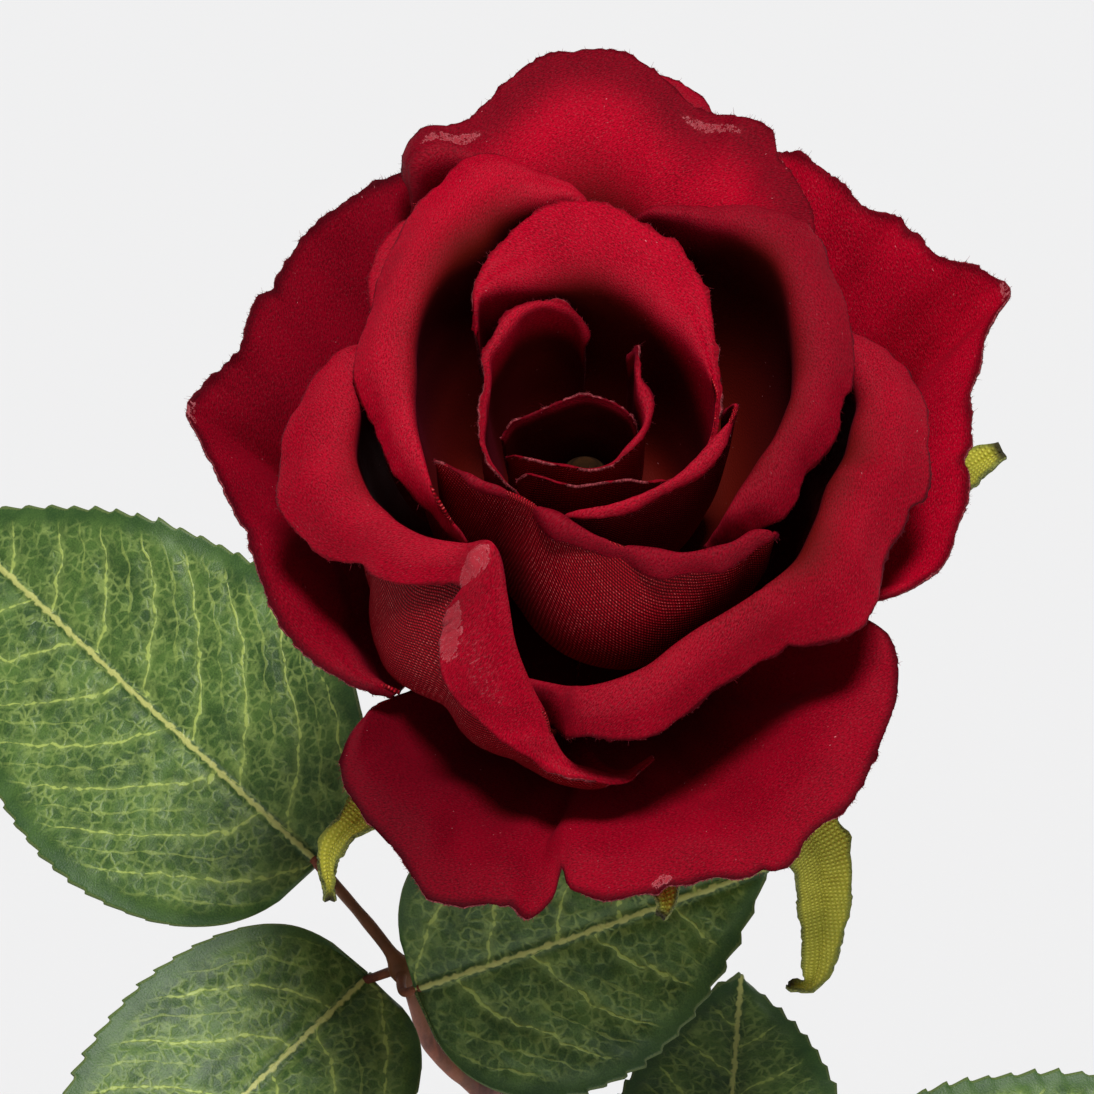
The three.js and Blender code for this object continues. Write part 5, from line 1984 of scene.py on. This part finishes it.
        (130, 33.8, 39, 6.5, 2.8), (122, 32.5, 38.5, 6, 2.8), (114, 31.3, 38, 5.8, 2.8),
        (106, 30.6, 37.3, 6, 3), (99, 29.8, 36.6, 6, 3.4), (92, 28, 36, 5, 4), (88, 28, 35.4, 5.5, 4.4),
        (82, 26.6, 34.7, 4.8, 4.6), (76, 25, 34, 3.8, 4.8), (70, 24.8, 33.4, 4.2, 5),
        (64, 24, 32.8, 3.8, 4.8), (57, 22.4, 32.2, 2.6, 4.6), (51, 21.3, 31.6, 1.7, 4),
        (45, 19, 29, 0.5, 1),
    )),
    PetalCut("bud_petal_right", centre=40, spread=0.95, cup=90, fullness=0.5, shade_inset=8.0, dye_and_shade=0.8,
        stations=(
        (99, 15.8, 34, 0.3, -1), (93, 16.8, 37.6, 0.6, 0), (85, 16.7, 38.2, 0.8, 0.6),
        (76, 16.3, 38.3, 1, 1), (66, 15.9, 38.3, 1.2, 1), (56, 15.4, 38.2, 1.2, 1), (46, 14.7, 38, 1, 1),
        (34, 14.2, 38, 0.8, 1), (22, 14.3, 38, 0.8, 1), (10, 14.4, 38, 0.8, 1), (0, 14.2, 37.6, 0.8, 0.6),
        (-8, 13.6, 36.6, 0.5, 0), (-14, 12.6, 34, 0.3, -1),
    )),
    PetalCut("bud_petal_back", centre=150, spread=0.9, cup=88, fullness=0.5, shade_inset=9.5, dye_and_shade=0.9,
        grain=-17.0, stations=(
        (230, 15.8, 38, 0.3, -1), (224, 17.8, 41.6, 0.8, -1), (216, 19.2, 42.5, 2.6, -1.4),
        (207, 20.6, 43, 4.6, -2), (198, 22.2, 43.5, 6.6, -2.6), (189, 23.2, 43.9, 7.8, -3),
        (181, 23.7, 44, 8.3, -3.2), (173, 23.2, 44, 8, -3.2), (165, 21.8, 43.9, 7, -3),
        (158, 21, 43.7, 6.6, -2.8), (151, 20.9, 43.3, 6.8, -2.8), (144, 19.9, 42.7, 6, -2.6),
        (137, 18.9, 42, 5, -2.4), (128, 17.5, 41.2, 3.6, -2), (118, 16, 40.2, 2.2, -1.6),
        (108, 15, 39.2, 1.2, -1.2), (98, 14.6, 38.4, 0.6, -1), (88, 14.5, 37.6, 0.4, -0.8),
        (79, 14.3, 36.2, 0.4, -0.8), (72, 13.5, 33.5, 0.3, -0.8),
    )),
    PetalCut("bud_petal_left", centre=-108, spread=0.95, cup=88, fullness=0.5, shade_inset=6.0, dye_and_shade=0.85,
        stations=(
        (-181, 12.4, 34.5, 0.3, -1), (-176, 12.8, 37.6, 0.3, -1), (-170, 13.2, 39.3, 0.5, -1),
        (-159, 13.7, 40.3, 0.8, -0.5), (-147, 13.7, 40.6, 1, 0), (-135, 13.1, 41, 1, 0),
        (-124, 12.5, 41, 0.8, 0), (-113, 12.3, 40.6, 0.6, -0.4), (-103, 11.6, 40.1, 0.4, -0.6),
        (-93, 11.4, 40, 0.4, -0.6), (-83, 11.7, 39.9, 0.4, -0.6), (-73, 12.2, 39.6, 0.4, -0.6),
        (-63, 12.6, 39, 0.4, -0.6), (-53, 12.7, 38.2, 0.4, -0.6), (-45, 12.3, 36.5, 0.3, -1),
        (-39, 11.6, 34, 0.3, -1),
    )),
    PetalCut("bud_petal_front", centre=5, spread=0.95, cup=88, fullness=0.5, shade_inset=8.0, dye_and_shade=0.7,
        stations=(
        (-47, 10.5, 33.5, 0.3, -1), (-38, 10.3, 36.4, 0.3, -1), (-24, 9.6, 37, 0.4, -1),
        (-10, 9.2, 37.2, 0.4, -1), (4, 9.1, 37.2, 0.4, -1), (18, 9.3, 37.2, 0.4, -1),
        (30, 10, 37.2, 0.5, -1), (39, 11.2, 37.1, 0.6, -1), (47, 12, 36.4, 0.5, -1),
        (54, 12, 33.5, 0.3, -1),
    )),
    PetalCut("bud_petal_coil", centre=35, spread=0.95, cup=88, fullness=0.5, shade_inset=4.0, dye_and_shade=0.7,
        stations=(
        (154, 11, 33.5, 0.3, -1), (147, 10.6, 36.8, 0.4, -1), (138, 8.9, 37.2, 0.5, -0.6),
        (126, 7.7, 37.2, 0.8, 0), (112, 7.4, 37.2, 0.9, 0.3), (97, 7.5, 37.2, 0.9, 0.4),
        (82, 7.5, 37.2, 0.9, 0.4), (66, 7.3, 37.2, 0.8, 0.3), (48, 7.1, 37.2, 0.6, 0),
        (28, 7.1, 37.1, 0.4, -0.4), (8, 7.2, 37, 0.3, -0.6), (-12, 7.3, 37, 0.3, -0.6),
        (-30, 7.7, 37, 0.3, -0.6), (-45, 8.7, 36.9, 0.3, -0.6), (-57, 9.4, 36.2, 0.3, -1),
        (-66, 9.7, 33.5, 0.3, -1),
    )),
    PetalCut("bud_petal_heart", centre=186, spread=0.95, cup=88, fullness=0.5, shade_inset=1.5, dye_and_shade=0.4,
        stations=(
        (274, 9.2, 32.4, 0.2, -1), (265, 7.9, 33.9, 0.2, -1), (253, 6.1, 34.2, 0.2, -1),
        (237, 4.8, 34.2, 0.2, -1), (216, 3.9, 34.2, 0.2, -1), (192, 3.55, 34.3, 0.2, -1),
        (168, 3.55, 34.3, 0.2, -1), (144, 3.9, 34.2, 0.2, -1), (124, 4.4, 34.2, 0.2, -1),
        (106, 5.1, 34, 0.2, -1), (94, 5.6, 32, 0.2, -1),
    )),
)

SEPALS: tuple[SepalCut, ...] = (
    SepalCut("sepal_front", 3.6, (
        (1.3, -6.6, -2.2), (4, -20, -4.5), (7, -33, -3),
        (8.6, -38.4, 0.4), (9, -41.4, 0.6), (8.4, -42.2, -0.8),
    ), seed=201),
    SepalCut("sepal_front_right", 3.4, (
        (5.4, -4, -2.2), (16, -14.5, -7), (25.6, -24, -13),
        (27.6, -29, -22), (26.2, -34, -32), (23.8, -33, -34),
    ), seed=211),
    SepalCut("sepal_right", 3.6, (
        (6, 3, -2.2), (20, 10, -5), (35, 18, -9), (45, 23, -10.5), (49.5, 25, -9.5),
    ), seed=221, slim=-0.7),
    SepalCut("sepal_back", 3.6, (
        (-3.3, 5.9, -2.2), (-9, 17, -7), (-14, 29, -15), (-17, 38, -25), (-16, 42, -33),
    ), seed=231),
    SepalCut("sepal_left", 3.4, (
        (-5.6, -3.7, -2.2), (-15, -12.5, -8), (-24.5, -21, -13.5), (-29, -25, -16.5), (-29.2, -28.5, -22),
    ), seed=241, slim=0.3),
)

LEAVES: tuple[Leaf, ...] = (
    Leaf(
        "left",
        rachis=(
            (-0.7, -22.3, 240.4), (-4, -32, 256), (-10.6, -39.5, 272), (-14.1, -40.4, 286), (-24, -27, 290.3),
        ),
        stalks=(
            ((-14, -40.2, 285.5), (-17.2, -38.8, 282.9)),
            ((-14, -40.2, 285.5), (-13.4, -45.6, 286.6), (-12.6, -46, 287.3)),
        ),
        leaflets=(
            Leaflet("leaflet_left_end", (-24.4, -26.6, 290.4), (-0.7, 0.67, 0.24), (-0.27, -0.56, 0.78),
                    72, 22, fold=0.1, arch=0.1, wave=0.8, seed=301, teeth=26, tooth=0.45),
            Leaflet("leaflet_left_front", (-18, -38.4, 282.2), (-0.66, -0.73, -0.17), (0.05, -0.4, 0.92),
                    60, 18, fold=0.16, arch=0.1, wave=0.8, seed=311, teeth=22, tooth=0.45),
            Leaflet("leaflet_under_bloom", (-12, -46, 287.6), (0.92, 0.02, 0.39), (-0.2, -0.86, 0.45),
                    45, 18, fold=0.1, arch=0.1, wave=0.6, seed=321, teeth=17, tooth=0.45),
        ),
    ),
    Leaf(
        "right",
        rachis=(
            (2, -16.6, 216), (7, -24, 225), (14, -38, 233), (20, -50, 237.5), (26, -58, 240),
            (36, -62, 242.4),
        ),
        stalks=(
            ((24.5, -56.4, 239.4), (25, -53.1, 240.9)),
            ((24.6, -56.6, 239.2), (25.2, -61.6, 237.7)),
        ),
        leaflets=(
            Leaflet("leaflet_right_end", (36.9, -61.6, 242.8), (0.82, 0.38, 0.22), (-0.15, -0.45, 0.88),
                    66, 21, fold=0.12, arch=0.12, wave=0.8, seed=331, teeth=24, tooth=0.45),
            Leaflet("leaflet_right_back", (25, -52.6, 241), (0.08, 0.98, 0.12), (0.05, -0.15, 0.98),
                    54, 15.5, fold=0.14, arch=0.06, wave=0.8, seed=341, teeth=20, tooth=0.45),
            Leaflet("leaflet_right_front", (25.3, -62.2, 237.6), (0.12, -0.95, -0.2), (0.05, -0.2, 0.97),
                    56, 17.5, fold=0.14, arch=0.12, wave=0.8, seed=351, teeth=21, tooth=0.45),
        ),
    ),
)

STEM_ROUTE: tuple[Point, ...] = (
    (-3, 15.5, 5.3), (-1.6, 2.6, 80), (-0.3, -5.0, 152), (-0.4, -10.5, 200), (-0.3, -17.6, 238),
    (1.8, -25, 278), (8, -36.56, 324.04), (8, -41.51, 339.25),
)
# How far up the stem, 0 to 1, and which way, in degrees from the front.
PRICKLES: tuple[tuple[float, float], ...] = (
    (0.45, 200), (0.56, 20), (0.6, 140), (0.66, 300), (0.72, 60), (0.78, 220), (0.84, 110),
)


def main() -> None:
    """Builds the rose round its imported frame."""
    logging.basicConfig(level=logging.INFO, format="%(name)s %(message)s")
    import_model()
    Studio().build()
    Bloom(PETALS).build()
    Core().build()
    Calyx().build()
    Sepals(SEPALS).build()
    Leaves(LEAVES).build()
    Stem(route=STEM_ROUTE, prickles=PRICKLES).build()
    Vase().build()
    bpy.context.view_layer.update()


if __name__ == "__main__":
    main()
